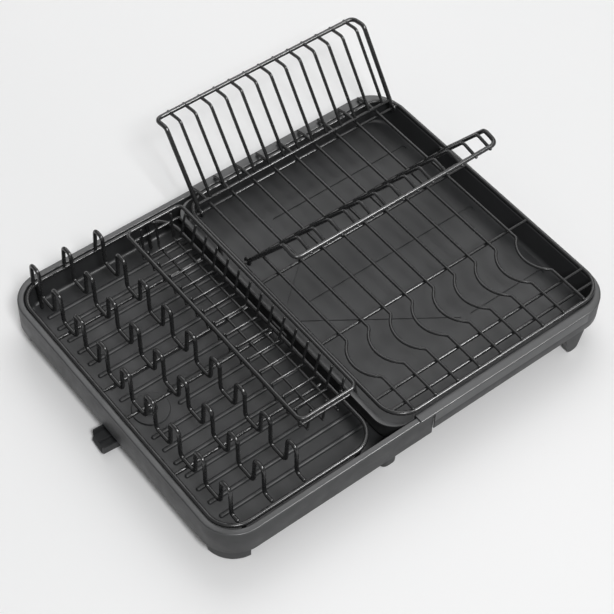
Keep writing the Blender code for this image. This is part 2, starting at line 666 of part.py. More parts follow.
def dish_legs():
    """Four legs on which the dish rack stands in the base tray."""
    top = DISH_Z - FRAME_R - 2 * GAP - 0.2
    for x, end in ((DISH_LEFT + DISH_LEG_INSET, "left"),
                   (DISH_LEFT + DISH_LENGTH - DISH_LEG_INSET, "right")):
        reach = DISH_DEPTH / 2 - corner_inset(DISH_LEG_INSET, DISH_R)
        for side, label in ((-1, "front"), (1, "back")):
            leg((x, side * reach, top), (x, side * (reach - DISH_LEG_LEAN), FLOOR_Z + 0.6),
                "dish_rack_leg_%s_%s" % (label, end))


def loop_ys():
    """Middles of the plate prong loops, from the back one to the front one."""
    first = DISH_DEPTH / 2 - LOOP_FIRST
    return [first - LOOP_PITCH * i for i in range(LOOPS)]


def cross_wire_ys():
    ys = loop_ys()
    return [(ys[i] + ys[i + 1]) / 2 for i in CROSS_LINKS]


def prongs():
    """Zigzag wires that stand the plates up, one node each."""
    top = DISH_Z + LOOP_HEIGHT
    for column, label in enumerate(("left", "middle", "right")[:PRONG_COLUMNS]):
        x = DISH_LEFT + PRONG_FIRST_X + PRONG_SPACING * column
        corners = []
        for y in loop_ys():
            corners += [(x, y + LOOP_BASE / 2, DISH_Z), (x, y + LOOP_TOP / 2, top),
                        (x, y - LOOP_TOP / 2, top), (x, y - LOOP_BASE / 2, DISH_Z)]
        edge = DISH_DEPTH / 2 - corner_inset(x - DISH_LEFT, DISH_R)
        corners[0] = (x, edge - 1.2, DISH_Z + PRONG_END_ROOM)
        corners.append((x, -edge + PRONG_END_ROOM, DISH_Z))
        finish(wire(bent(corners, LOOP_TOP / 2, steps=2), PRONG_R), "prong_wire_" + label, WIRE)


def basket():
    """Top rail, two long sides, two ends and a floor, each a flat grille of wires."""
    left = DISH_LEFT + BASKET_LEFT
    right = left + BASKET_WIDTH
    front = -DISH_DEPTH / 2 + BASKET_FRONT
    back = front + BASKET_LENGTH
    top = BASKET_TOP_Z
    finish(wire([(x, y, top) for x, y in round_rect(left, right, front, back, BASKET_R, steps=4)],
                BASKET_RAIL_R, closed=True), "basket_top_rail", WIRE)
    touch = BASKET_RAIL_R + BASKET_WIRE_R + GAP
    mid_z = top - BASKET_MID_DROP
    share = BASKET_MID_DROP / BASKET_HEIGHT
    foot_z = BASKET_FLOOR_Z + BASKET_WIRE_R + GAP
    first = (front + back) / 2 - BASKET_WIRE_PITCH * (BASKET_WIRES - 1) / 2
    rows = [first + BASKET_WIRE_PITCH * i for i in range(BASKET_WIRES)]
    columns = [(left + right) / 2 + BASKET_LONG_PITCH * (i - (BASKET_LONG_WIRES - 1) / 2)
               for i in range(BASKET_LONG_WIRES)]
    reach = BASKET_WIRE_PITCH * 0.32
    for sign, edge, label in ((1, left, "left"), (-1, right, "right")):
        upper, lower = edge + sign * touch, edge + sign * (touch + BASKET_DRAFT)
        at_mid = upper + (lower - upper) * share
        rail_x = at_mid - sign * (2 * BASKET_WIRE_R - WELD)
        rail = wire([(rail_x, rows[0] - reach, mid_z), (rail_x, rows[-1] + reach, mid_z)],
                    BASKET_WIRE_R)
        posts = [wire([(upper, y, top + 0.6), (lower, y, foot_z)], BASKET_WIRE_R) for y in rows]
        finish(combine(rail, posts, "UNION"), "basket_side_" + label, WIRE)
    for sign, edge, label in ((1, front, "front"), (-1, back, "back")):
        upper, lower = edge + sign * touch, edge + sign * (touch + BASKET_END_DRAFT)
        at_mid = upper + (lower - upper) * share
        rail_y = at_mid - sign * (2 * BASKET_WIRE_R - WELD)
        side = touch + BASKET_DRAFT * share - 2 * BASKET_WIRE_R + WELD
        turn = rows[0] - reach - GAP if sign > 0 else rows[-1] + reach + GAP
        corners = [(left + side, turn, mid_z), (left + side, rail_y, mid_z),
                   (right - side, rail_y, mid_z), (right - side, turn, mid_z)]
        rail = wire(bent(corners, BASKET_R, steps=3), BASKET_WIRE_R)
        posts = [wire([(x, upper, top + 0.6), (x, lower, BASKET_LONG_Z + BASKET_WIRE_R + GAP)],
                      BASKET_WIRE_R) for x in columns]
        finish(combine(rail, posts, "UNION"), "basket_end_" + label, WIRE)
    inset = touch + BASKET_DRAFT
    end_inset = touch + BASKET_END_DRAFT
    floor = [wire([(x, front + end_inset - BASKET_WIRE_R, BASKET_LONG_Z),
                   (x, back - end_inset + BASKET_WIRE_R, BASKET_LONG_Z)], BASKET_WIRE_R)
             for x in columns]
    floor += [wire([(left + inset - BASKET_WIRE_R, y, BASKET_FLOOR_Z),
                    (right - inset + BASKET_WIRE_R, y, BASKET_FLOOR_Z)], BASKET_WIRE_R) for y in rows]
    finish(combine(floor[0], floor[1:], "UNION"), "basket_floor", WIRE)


def bar_path(x, front, back):
    """One top wire of the cup rack, with its round scallop for a cup or glass stem."""
    start = CUP_CROSS_Y[1] - SCALLOP_START
    half = SCALLOP_CHORD / 2
    radius = (half ** 2 + SCALLOP_DEPTH ** 2) / (2 * SCALLOP_DEPTH)
    spread = math.asin(half / radius)
    seat = CUP_Z + FRAME_R + TOP_WIRE_R - WELD
    path = [(x, back + NUB_OVERHANG, EXT_TOP + GAP + TOP_WIRE_R), (x, back + 2, seat - 0.4),
            (x, back, seat), (x, back - 7, BAR_Z), (x, start + 1.2, BAR_Z)]
    for i in range(1, SCALLOP_STEPS):
        angle = spread - 2 * spread * i / SCALLOP_STEPS
        path.append((x + radius * (math.cos(spread) - math.cos(angle)),
                     start - half + radius * math.sin(angle), BAR_Z))
    path += [(x, start - SCALLOP_CHORD - 1.2, BAR_Z), (x, front + 7, BAR_Z), (x, front, seat)]
    return path


def cup_rack():
    """Frame, cross wires, pivot wires and scalloped top wires, welded into one grille."""
    x0, x1 = CUP_LEFT, CUP_LEFT + CUP_LENGTH
    front, back = -HALF + CUP_FRONT, HALF - CUP_BACK
    frame = wire([(x, y, CUP_Z) for x, y in round_rect(x0, x1, front, back, CUP_R, steps=7)],
                 FRAME_R, closed=True)
    pieces = []
    for y in CUP_CROSS_Y + (PIVOT_BACK_Y, PIVOT_FRONT_Y):
        inset = corner_inset(min(y - front, back - y), CUP_R)
        pieces.append(wire([(x0 + inset, y, CUP_Z), (x1 - inset, y, CUP_Z)], CROSS_R))
    for i in range(BAR_COUNT):
        pieces.append(wire(bar_path(x0 + BAR_FIRST + BAR_PITCH * i, front, back), TOP_WIRE_R))
    return finish(combine(frame, pieces, "UNION"), "cup_rack_grille", WIRE)


def cup_legs():
    """Two legs that carry the cup rack's left side on the extension tray's floor."""
    top = CUP_Z - FRAME_R - 2 * GAP - 0.2
    for y, label in ((-CUP_LEG_Y, "front"), (CUP_LEG_Y, "back")):
        leg((CUP_LEFT, y, top), (CUP_LEFT + CUP_LEG_LEAN, y, EXT_FLOOR_Z + 0.6),
            "cup_rack_leg_" + label)


def fence(pivot_y, lean_sign, name):
    """A bent wire fence with eyes that turn on a pivot wire of the cup rack."""
    lean = math.radians(FENCE_LEAN)
    turned_over = lean + math.radians(FENCE_TOP_TURN)
    up = Vector((0, lean_sign * math.sin(lean), math.cos(lean)))
    over = Vector((0, lean_sign * math.sin(turned_over), math.cos(turned_over)))
    left = CUP_LEFT + FENCE_LEFT_INSET
    right = CUP_LEFT + CUP_LENGTH - FENCE_RIGHT_INSET

    def line(x, start, past=0.0):
        foot = Vector((x, pivot_y, CUP_Z)) + up * start
        bend = Vector((x, pivot_y, CUP_Z)) + up * FENCE_POST
        return [foot, bend, bend + over * (FENCE_TOP + past)]

    eye_r = CROSS_R + GAP + EYE_R + 0.1
    first = line(left, eye_r)
    last = line(right, eye_r)
    frame = wire(bent(first + last[::-1], 7.0, steps=3), FENCE_R)
    pieces = []
    for x in (left, right):
        eye = [(x, pivot_y + eye_r * math.cos(math.radians(30 * i)),
                CUP_Z + eye_r * math.sin(math.radians(30 * i))) for i in range(12)]
        pieces.append(wire(eye, EYE_R, closed=True))
    rail = Vector((0, pivot_y, CUP_Z)) + up * FENCE_RAIL_UP
    pieces.append(wire([(left, rail.y, rail.z), (right, rail.y, rail.z)], FENCE_RAIL_R))
    span = right - left - FENCE_FIRST_WIRE - FENCE_LAST_WIRE
    for i in range(FENCE_WIRES):
        x = left + FENCE_FIRST_WIRE + span * i / (FENCE_WIRES - 1)
        pieces.append(wire(bent(line(x, FENCE_RAIL_UP, FENCE_NUB), 6.0, steps=2), THIN_R))
    return finish(combine(frame, pieces, "UNION"), name, WIRE)


clear_scene()
PARTS = new_collection("dish_drying_rack")
base_tray()
extension_tray()
corner_feet()
side_feet()
fin_feet()
drain()
seal()
spout()
dish_rack()
dish_legs()
prongs()
basket()
cup_rack()
cup_legs()
fence(PIVOT_BACK_Y, 1, "rear_fence")
fence(PIVOT_FRONT_Y, -1, "front_fence")
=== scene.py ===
"""Looks of the extendable dish drying rack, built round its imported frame.

Lengths are millimetres in the design frame: X from the base tray's left end, Y from the
trays' middle plane to the back, Z from the surface that the feet stand on.
"""
import json
import math

import bmesh
import bpy
from mathutils import Matrix, Vector

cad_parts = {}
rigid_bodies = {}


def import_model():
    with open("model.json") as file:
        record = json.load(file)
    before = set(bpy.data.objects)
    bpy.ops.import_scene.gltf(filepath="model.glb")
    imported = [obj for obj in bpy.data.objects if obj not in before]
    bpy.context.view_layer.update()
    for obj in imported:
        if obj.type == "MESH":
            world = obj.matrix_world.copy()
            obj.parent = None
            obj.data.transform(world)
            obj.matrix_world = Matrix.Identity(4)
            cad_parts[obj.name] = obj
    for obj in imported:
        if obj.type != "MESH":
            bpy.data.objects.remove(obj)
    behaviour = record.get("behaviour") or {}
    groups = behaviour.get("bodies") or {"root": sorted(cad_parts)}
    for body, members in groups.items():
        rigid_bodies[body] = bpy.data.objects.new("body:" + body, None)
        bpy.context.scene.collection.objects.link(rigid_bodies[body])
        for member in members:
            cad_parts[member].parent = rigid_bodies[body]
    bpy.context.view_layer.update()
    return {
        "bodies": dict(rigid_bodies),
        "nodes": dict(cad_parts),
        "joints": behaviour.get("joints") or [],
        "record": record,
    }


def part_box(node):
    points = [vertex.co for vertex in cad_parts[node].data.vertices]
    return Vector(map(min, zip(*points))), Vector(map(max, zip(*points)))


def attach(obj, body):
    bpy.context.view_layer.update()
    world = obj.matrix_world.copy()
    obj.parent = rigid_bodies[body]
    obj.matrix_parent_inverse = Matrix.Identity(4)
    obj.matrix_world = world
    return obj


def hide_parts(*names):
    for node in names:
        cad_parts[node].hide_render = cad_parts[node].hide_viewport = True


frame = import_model()
RECORD = frame["record"]
BODY_OF = {node: body for body, nodes in RECORD["behaviour"]["bodies"].items() for node in nodes}
BASE_LOW, BASE_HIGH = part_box("base_tray")

MM = 0.001
GAP = 0.3                 # between pieces that touch
WELD = 0.6                # depth to which welded wires sink into each other

# Base tray
DEPTH = 338.0             # front to back, over the skirts
BASE_LENGTH = 224.5
RIM_HEIGHT = 48.0         # top of the base tray's rim above the table
RIM_WIDTH = 6.0
CORNER_R = 34.0
WALL = 1.6
SKIRT_DROP = 29.0
FLOOR_DROP = 31.0         # tray floor below the rim
FLOOR_FILLET = 4.0
WALL_DRAFT = 1.0
END_SILL = 2.2            # height of the sill that closes the floor's open end
RIB_MARGIN = 36.2         # from the skirts to the outermost ribs, on average
RIB_COUNT = 17
RIB_R = 2.5
RIB_RISE = 1.9
RIB_START = 26.0          # from the left end
RIB_CENTRE_Y = 7.0
CORNER_SEGMENTS = 14

# Extension tray
EXT_REACH = 217.7         # length that shows beyond the base tray
EXT_NEST = 43.8           # length that sits inside the base tray
EXT_WALL = 1.2
EXT_FLANGE_OVERLAP = 15.3
EXT_END_RIM = 6.0         # width of the rim along the far end
EXT_SKIRT_DROP = 21.0
EXT_FLOOR_DROP = 27.0
EXT_LIP_DROP = 3.2        # the nested end's rim below the base tray's rim
EXT_LIP_WIDTH = 4.7
EXT_LIP_THICK = 2.4
EXT_INNER_R = 20.0        # corners of the nested end
OUTLET_WIDTH = 24.0
OUTLET_HEIGHT = 7.0

# Feet
PAD_THICK = 1.5
PAD_INSET = 1.2
CORNER_FOOT_R = 29.0
CORNER_FOOT_INNER_R = 13.0
CORNER_FOOT_ANGLE = 78.0
SIDE_FOOT_LENGTH = 17.0
SIDE_FOOT_WIDTH = 12.0
SIDE_FOOT_FROM_END = 42.0  # centre, from the base tray's open end
SIDE_FOOT_FROM_SKIRT = 10.5
FIN_THICK = 5.6
FIN_WIDTH = 26.0          # at the top
FIN_FOOT = 12.0           # at the bottom
FIN_FROM_END = 57.0       # tip of the long side's fin, from the extension tray's end
FIN_FROM_SKIRT = 4.8      # its middle plane, from the extension tray's skirt
CORNER_FIN_FROM_END = 19.0
CORNER_FIN_FROM_SIDE = 17.0
CORNER_FIN_WIDTH = 20.0
CORNER_FIN_YAW = 40.0

# Drain and spout
DRAIN_X = 43.6
DRAIN_DISC_R = 17.5
DRAIN_DISC_THICK = 1.2
DRAIN_KNOB_R = 5.5
DRAIN_KNOB_HEIGHT = 7.0
STEM_R = 6.5
STEM_CLEARANCE = 0.5
DRAIN_SLOT_WIDTH = 4.6
SPOUT_LENGTH = 56.0       # drain axis to spout tip
SPOUT_WIDTH = 23.0
SPOUT_HUB_R = 15.0
SPOUT_HEIGHT = 8.0
SPOUT_WALL = 1.6
SPOUT_UNDER_FLOOR = 2.4   # the seal's thickness and its gaps
SPOUT_REST_ANGLE = -4.0
SEAL_R = 12.0

# Marks on the extension tray
SKIRT_GROOVE_DROP = 11.5  # groove round the skirt, below the rim
SKIRT_GROOVE_DEEP = 0.24
FLOOR_GROOVES = ((108.0, 262.0), (7.0, 228.0), (-93.0, 338.0))   # y and where each starts
GROOVE_END = 14.0         # from the far end
GROOVE_WIDTH = 6.5
GROOVE_DEPTH = 1.1
FLOOR_FOLDS = (((208.0, -3.8), (329.0, -88.8)), ((253.0, 54.0), (211.0, 20.0)))   # their ends
FOLD_WIDTH = 1.2
FOLD_DEPTH = 0.77

# Fineness
WIRE_SIDES = 4            # bevel resolution of the wires
BEND_STEPS = 7

# Wire sizes (radii)
FRAME_R = 2.1
CROSS_R = 1.6
TOP_WIRE_R = 1.5
THIN_R = 1.6
PRONG_R = 1.9
LEG_R = 1.85
FENCE_R = 2.2

# Dish rack
DISH_END_CLEAR = 0.5      # frame wire to the rim's inner edge, at the left end
DISH_SIDE_CLEAR = 1.9
DISH_NEST_CLEAR = 10.5    # frame wire's middle to the extension tray's nested end
DISH_DROP = 0.6           # frame wire below the base rim
DISH_R = 25.0
DISH_LEG_INSET = 20.0
DISH_LEG_LEAN = 6.0
PRONG_FIRST_X = 16.4      # from the frame's left wire
PRONG_LAST_X = 21.0       # last column from the basket's left rail
PRONG_COLUMNS = 3
LOOPS = 9
LOOP_LAST = 21.9          # middle of the last loop, from the frame's front wire
LOOP_FIRST = 9.7          # middle of the first loop, from the frame's back wire
LOOP_BASE = 14.6
LOOP_TOP = 12.0
LOOP_HEIGHT = 33.4
CROSS_LINKS = (1, 3, 4, 6)   # links between loops that have a cross wire under them

# Cutlery basket
BASKET_BACK = 23.2        # from the dish rack's back wire
BASKET_WIDTH = 60.2
BASKET_OVERHANG = 4.0     # past the dish rack's right wire
BASKET_FRONT = 37.2       # from the dish rack's front wire
BASKET_HEIGHT = 29.5
BASKET_R = 6.0
BASKET_DRAFT = 6.0
BASKET_END_DRAFT = 3.0
BASKET_MID_DROP = 12.0
BASKET_RAIL_R = 1.9
BASKET_WIRE_R = 1.25
BASKET_WIRES = 15
BASKET_LONG_WIRES = 3
BASKET_END_ROW = 12.25    # first and last wire from the end rails
BASKET_LONG_PITCH = 16.6

# Cup rack
CUP_LEFT_INSET = 9.1      # frame wire from the extension tray's nested end
CUP_RIGHT_INSET = 4.2     # frame wire from the extension tray's far end
CUP_FRONT = 10.3          # frame wire's inset from the base tray's skirt
CUP_BACK = 14.8
CUP_R = 24.5
CUP_CROSS = (191.9, 104.4, 29.4, 12.0)   # cross wires from the front wire
BAR_COUNT = 9
BAR_LAST = 25.9           # from the frame's right wire
BAR_FIRST = 19.5          # from the frame's left wire
SCALLOP_START = 13.3      # past the second cross wire
SCALLOP_CHORD = 47.4
SCALLOP_DEPTH = 12.3
SCALLOP_STEPS = 22
NUB_OVERHANG = 13.5
CUP_LEG_Y = 100.0
CUP_LEG_LEAN = 5.0

# Fences on the cup rack
PIVOT_BACK_INSET = 18.7   # from the cup rack's back wire
PIVOT_SPACING = 73.8
FENCE_LEFT_INSET = 6.6    # posts from the cup rack's side wires
FENCE_RIGHT_INSET = 6.8
FENCE_POST = 88.0
FENCE_LEAN = 36.1         # from upright
FENCE_TOP = 17.1
FENCE_TOP_TURN = 64.0     # bend between the post and the top
FENCE_RAIL_UP = 8.6
FENCE_RAIL_R = 1.6
FENCE_NUB = 3.6           # inner wires' ends past the top rail's middle
FENCE_WIRES = 13
FENCE_FIRST_WIRE = 15.6
FENCE_LAST_WIRE = 9.2
EYE_R = 1.4

# Worked out from the sizes above
HALF = DEPTH / 2
EXT_HALF = HALF + GAP + EXT_WALL
EXT_RIGHT = BASE_LENGTH + EXT_REACH
EXT_LEFT = BASE_LENGTH - EXT_NEST
EXT_TOP = RIM_HEIGHT + GAP + EXT_WALL
FLOOR_Z = RIM_HEIGHT - FLOOR_DROP
FLOOR_UNDER = FLOOR_Z - WALL
EXT_FLOOR_Z = RIM_HEIGHT - EXT_FLOOR_DROP
RIB_PITCH = (DEPTH - 2 * RIB_MARGIN) / (RIB_COUNT - 1)
DISH_LEFT = RIM_WIDTH + DISH_END_CLEAR + FRAME_R
DISH_LENGTH = EXT_LEFT - DISH_NEST_CLEAR - DISH_LEFT
DISH_DEPTH = DEPTH - 2 * (RIM_WIDTH + DISH_SIDE_CLEAR + FRAME_R)
LOOP_PITCH = (DISH_DEPTH - LOOP_FIRST - LOOP_LAST) / (LOOPS - 1)
BASKET_LEFT = DISH_LENGTH + BASKET_OVERHANG - BASKET_WIDTH
BASKET_LENGTH = DISH_DEPTH - BASKET_FRONT - BASKET_BACK
BASKET_WIRE_PITCH = (BASKET_LENGTH - 2 * BASKET_END_ROW) / (BASKET_WIRES - 1)
PRONG_SPACING = (BASKET_LEFT - PRONG_LAST_X - PRONG_FIRST_X) / (PRONG_COLUMNS - 1)
PRONG_END_ROOM = FRAME_R / 0.7      # from the middle of the frame wire
CUP_LEFT = EXT_LEFT + CUP_LEFT_INSET
CUP_LENGTH = EXT_RIGHT - CUP_RIGHT_INSET - CUP_LEFT
CUP_CROSS_Y = tuple(CUP_FRONT - HALF + inset for inset in CUP_CROSS)
BAR_PITCH = (CUP_LENGTH - BAR_FIRST - BAR_LAST) / (BAR_COUNT - 1)
PIVOT_BACK_Y = HALF - CUP_BACK - PIVOT_BACK_INSET
PIVOT_FRONT_Y = PIVOT_BACK_Y - PIVOT_SPACING
DISH_Z = RIM_HEIGHT - DISH_DROP
CROSS_Z = DISH_Z - PRONG_R - CROSS_R - GAP
CUP_Z = EXT_TOP + 2 * GAP + FRAME_R
BAR_Z = CUP_Z + CROSS_R + GAP + TOP_WIRE_R + 0.1
BASKET_LONG_Z = CROSS_Z + CROSS_R + GAP + BASKET_WIRE_R
BASKET_FLOOR_Z = BASKET_LONG_Z + 2 * BASKET_WIRE_R - WELD
BASKET_TOP_Z = BASKET_FLOOR_Z + BASKET_HEIGHT
ORIGIN = Vector((-BASE_LOW.x, -(BASE_LOW.y + BASE_HIGH.y) / 2, RIM_HEIGHT * MM - BASE_HIGH.z)) / MM

# Looks
PLASTIC_DARK = (0.026, 0.027, 0.028)
PLASTIC_LIGHT = (0.034, 0.035, 0.037)
WIRE_DARK = (0.012, 0.0122, 0.0128)
WIRE_LIGHT = (0.017, 0.0173, 0.018)

# Camera, as the design frame sees it
CAMERA_AT = (-416.6, -753.4, 1260.1)
CAMERA_AZIMUTH = -40.1
CAMERA_ELEVATION = 51.3
CAMERA_ROLL = 2.6
CAMERA_LENS = 100.88

# Light: where each lamp stands in world metres, the side of its square, and its power
WORLD_COLOUR = (1.0, 0.995, 0.985, 1.0)
WORLD_STRENGTH = 0.33
KEY = ((-0.72, -2.0, 2.9), 0.7, 70.0)        # the main light; its shadow falls to the back
BACK = ((0.95, 1.1, 1.75), 1.9, 21.0)        # a soft sheen on the tray floors
GLINT = ((0.86, -0.95, 1.75), 0.6, 48.0)     # only seen as highlights on wires and ribs

# The rim look is a lighter copy of the tray plastic: its lighter colour is a painted sheen on the rim
# tops and the drain knob.
PLASTIC, RIM_PAINTED_SHEEN, WIRE, RUBBER = "plastic", "rim", "wire", "rubber"


def place(x, y, z):
    """Design millimetres to world metres."""
    return Vector((x - ORIGIN[0], y - ORIGIN[1], z - ORIGIN[2])) * MM


def new_collection(name):
    collection = bpy.data.collections.new(name)
    bpy.context.scene.collection.children.link(collection)
    return collection


def shader_nodes(name):
    """A new material, its node tree and its Principled shader."""
    made = bpy.data.materials.new(name)
    made.use_nodes = True
    return made, made.node_tree, made.node_tree.nodes["Principled BSDF"]


def noise(tree, scale, detail=2.0):
    """Noise over the piece's own coordinates; the scale is per metre."""
    coords = tree.nodes.new("ShaderNodeTexCoord")
    texture = tree.nodes.new("ShaderNodeTexNoise")
    texture.inputs["Scale"].default_value = scale
    texture.inputs["Detail"].default_value = detail
    tree.links.new(coords.outputs["Object"], texture.inputs["Vector"])
    return texture.outputs["Fac"]


def ranged(tree, value, low, high, start=0.35, end=0.65):
    """The value spread from start..end to low..high."""
    node = tree.nodes.new("ShaderNodeMapRange")
    for socket, number in zip(("From Min", "From Max", "To Min", "To Max"),
                              (start, end, low, high)):
        node.inputs[socket].default_value = number
    tree.links.new(value, node.inputs["Value"])
    return node.outputs["Result"]


def mixed(tree, value, dark, light):
    """A colour between dark and light, as the value goes from low to high."""
    ramp = tree.nodes.new("ShaderNodeValToRGB")
    ramp.color_ramp.elements[0].position, ramp.color_ramp.elements[1].position = 0.3, 0.7
    ramp.color_ramp.elements[0].color = (*dark, 1.0)
    ramp.color_ramp.elements[1].color = (*light, 1.0)
    tree.links.new(value, ramp.inputs["Fac"])
    return ramp.outputs["Color"]


def bumped(tree, shader, layers):
    """Bump from several (noise scale, height in mm) layers, one over another."""
    previous = None
    for scale, height in layers:
        bump = tree.nodes.new("ShaderNodeBump")
        bump.inputs["Strength"].default_value = 1.0
        bump.inputs["Distance"].default_value = height * MM
        tree.links.new(noise(tree, scale), bump.inputs["Height"])
        if previous is not None:
            tree.links.new(previous, bump.inputs["Normal"])
        previous = bump.outputs["Normal"]
    tree.links.new(previous, shader.inputs["Normal"])


def tray_plastic(name, tint, roughness, specular):
    """Moulded plastic with a fine spark-eroded grain and slight flow marks."""
    made, tree, shader = shader_nodes(name)
    dark, light = ([channel * tint for channel in colour] for colour in (PLASTIC_DARK, PLASTIC_LIGHT))
    colour = mixed(tree, noise(tree, 14.0, 3.0), dark, light)
    tree.links.new(colour, shader.inputs["Base Color"])
    rough = ranged(tree, noise(tree, 60.0, 4.0), roughness - 0.05, roughness + 0.05)
    tree.links.new(rough, shader.inputs["Roughness"])
    shader.inputs["Specular IOR Level"].default_value = specular
    bumped(tree, shader, ((1600.0, 0.018), (45.0, 0.03)))
    return made


def coated_wire():
    """Steel wire under a satin powder coat, with a slight orange peel."""
    made, tree, shader = shader_nodes("coated_wire")
    colour = mixed(tree, noise(tree, 90.0, 3.0), WIRE_DARK, WIRE_LIGHT)
    tree.links.new(colour, shader.inputs["Base Color"])
    tree.links.new(ranged(tree, noise(tree, 300.0, 3.0), 0.23, 0.28), shader.inputs["Roughness"])
    shader.inputs["Specular IOR Level"].default_value = 0.6
    bumped(tree, shader, ((900.0, 0.003), (250.0, 0.003)))
    return made


def pad_rubber():
    """Matt black rubber."""
    made, tree, shader = shader_nodes("pad_rubber")
    colour = mixed(tree, noise(tree, 200.0, 3.0), (0.010, 0.010, 0.010), (0.020, 0.020, 0.021))
    tree.links.new(colour, shader.inputs["Base Color"])
    shader.inputs["Roughness"].default_value = 0.85
    bumped(tree, shader, ((1200.0, 0.03),))
    return made


# In the rim look, the tint of 1.2 paints a sheen into the colour; its lower roughness and higher
# specular are real gloss.
MATERIALS = {PLASTIC: tray_plastic("tray_plastic", 0.87, 0.46, 0.45),
             RIM_PAINTED_SHEEN: tray_plastic("tray_rim_painted_sheen", 1.2, 0.34, 0.7),
             WIRE: coated_wire(), RUBBER: pad_rubber()}


def finish(obj, node, look, painted_sheen_z=None):
    """Make obj the finished look of one CAD node, riding on that node's body."""
    obj.name = obj.data.name = node + "_shaped"
    obj.data.materials.clear()
    obj.data.materials.append(MATERIALS[look])
    # Faces above the given height get the lighter rim look, a painted sheen.
    if painted_sheen_z is not None:
        obj.data.materials.append(MATERIALS[RIM_PAINTED_SHEEN])
        for face in obj.data.polygons:
            face.material_index = 1 if face.center.z > painted_sheen_z * MM else 0
    obj.data.shade_smooth()
    obj.data.set_sharp_from_angle(angle=math.radians(38))
    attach(obj, BODY_OF[node])
    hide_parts(node)
    return obj


def weld(first, others):
    """Join wires that cross into one piece."""
    bm = bmesh.new()
    for piece in [first] + list(others):
        bm.from_mesh(piece.data)
        bpy.data.objects.remove(piece, do_unlink=True)
    mesh = bpy.data.meshes.new("welded")
    bm.to_mesh(mesh)
    bm.free()
    obj = bpy.data.objects.new("welded", mesh)
    bpy.context.scene.collection.objects.link(obj)
    return obj


def mesh_object(bm, name="solid"):
    bmesh.ops.recalc_face_normals(bm, faces=bm.faces)
    mesh = bpy.data.meshes.new(name)
    bm.to_mesh(mesh)
    bm.free()
    obj = bpy.data.objects.new(name, mesh)
    bpy.context.scene.collection.objects.link(obj)
    return obj


def baked(obj):
    """Replace an object by the mesh that its curve or modifiers make."""
    depsgraph = bpy.context.evaluated_depsgraph_get()
    mesh = bpy.data.meshes.new_from_object(obj.evaluated_get(depsgraph))
    bm = bmesh.new()
    bm.from_mesh(mesh)
    bmesh.ops.remove_doubles(bm, verts=bm.verts, dist=0.00001)
    bm.to_mesh(mesh)
    bm.free()
    result = bpy.data.objects.new(obj.name + "_mesh", mesh)
    result.matrix_world = obj.matrix_world
    bpy.context.scene.collection.objects.link(result)
    bpy.data.objects.remove(obj, do_unlink=True)
    return result


def combine(first, others, operation):
    """Join or cut with every other object at once, and use the tools up."""
    tools = new_collection("tools")
    for tool in others:
        for collection in list(tool.users_collection):
            collection.objects.unlink(tool)
        tool.hide_render = True
        tool.display_type = "WIRE"
        tools.objects.link(tool)
    step = first.modifiers.new("combine", "BOOLEAN")
    step.operation = operation
    step.operand_type = "COLLECTION"
    step.collection = tools
    step.solver = "EXACT"
    result = baked(first)
    for tool in others:
        bpy.data.objects.remove(tool, do_unlink=True)
    bpy.data.collections.remove(tools)
    return result


def wire(points, radius, closed=False, sides=WIRE_SIDES):
    """A round wire through design points with domed ends, as a mesh."""
    path = [(Vector(p), 1.0) for p in points]
    if not closed:
        for end, following, place_in in ((0, 1, 0), (-1, -2, None)):
            tip = Vector(points[end])
            inward = (Vector(points[following]) - tip).normalized() * radius
            dome = [(tip + inward * (1 - math.cos(math.radians(a))) * 0.8,
                     math.sin(math.radians(a))) for a in (14, 38, 62)]
            dome.append((tip + inward * 0.8, 1.0))
            if place_in == 0:
                path = dome + path[1:]
            else:
                path = path[:-1] + dome[::-1]
    curve = bpy.data.curves.new("wire", "CURVE")
    curve.dimensions = "3D"
    curve.twist_mode = "MINIMUM"
    curve.bevel_depth = radius * MM
    curve.bevel_resolution = sides
    curve.use_fill_caps = True
    spline = curve.splines.new("POLY")
    spline.points.add(len(path) - 1)
    for target, (point, size) in zip(spline.points, path):
        target.co = (*place(*point), 1.0)
        target.radius = size
    spline.use_cyclic_u = closed
    obj = bpy.data.objects.new("wire", curve)
    bpy.context.scene.collection.objects.link(obj)
    bpy.context.view_layer.update()
    return baked(obj)


def bent(points, radius, steps=BEND_STEPS):
    """A path through corner points, with every inner corner rounded."""
    path = [Vector(points[0])]
    for before, corner, after in zip(points, points[1:], points[2:]):
        before, corner, after = Vector(before), Vector(corner), Vector(after)
        into, out = (corner - before), (after - corner)
        turn = into.angle(out)
        if turn < 0.02:
            path.append(corner)
            continue
        reach = min(radius * math.tan(turn / 2), into.length * 0.49, out.length * 0.49)
        start, end = corner - into.normalized() * reach, corner + out.normalized() * reach
        for step in range(steps + 1):
            t = step / steps
            path.append(start * (1 - t) ** 2 + corner * 2 * t * (1 - t) + end * t ** 2)
    path.append(Vector(points[-1]))
    return path


def round_rect(x0, x1, y0, y1, radius_left, radius_right=None, steps=CORNER_SEGMENTS):
    """Corner points of a rounded rectangle, counter-clockwise from the front right."""
    radius_right = radius_left if radius_right is None else radius_right
    corners = ((x1, y0, radius_right, 270), (x1, y1, radius_right, 0),
               (x0, y1, radius_left, 90), (x0, y0, radius_left, 180))
    points = []
    for x, y, radius, start in corners:
        cx = x - radius if x == x1 else x + radius
        cy = y + radius if y == y0 else y - radius
        for step in range(steps + 1):
            angle = math.radians(start + 90 * step / steps)
            points.append((cx + radius * math.cos(angle), cy + radius * math.sin(angle)))
    return points


def corner_inset(distance, radius):
    """How far a rounded outline lies inside its square edge, near a corner."""
    inside = max(radius - distance, 0.0)
    return radius - math.sqrt(radius ** 2 - inside ** 2)


def prism(outline, bottom, top):
    """An upright solid from a plan outline."""
    bm = bmesh.new()
    face = bm.faces.new([bm.verts.new(place(x, y, bottom)) for x, y in outline])
    swept = bmesh.ops.extrude_face_region(bm, geom=[face])
    raised = [v for v in swept["geom"] if isinstance(v, bmesh.types.BMVert)]
    bmesh.ops.translate(bm, verts=raised, vec=(0, 0, (top - bottom) * MM))
    return mesh_object(bm, "prism")


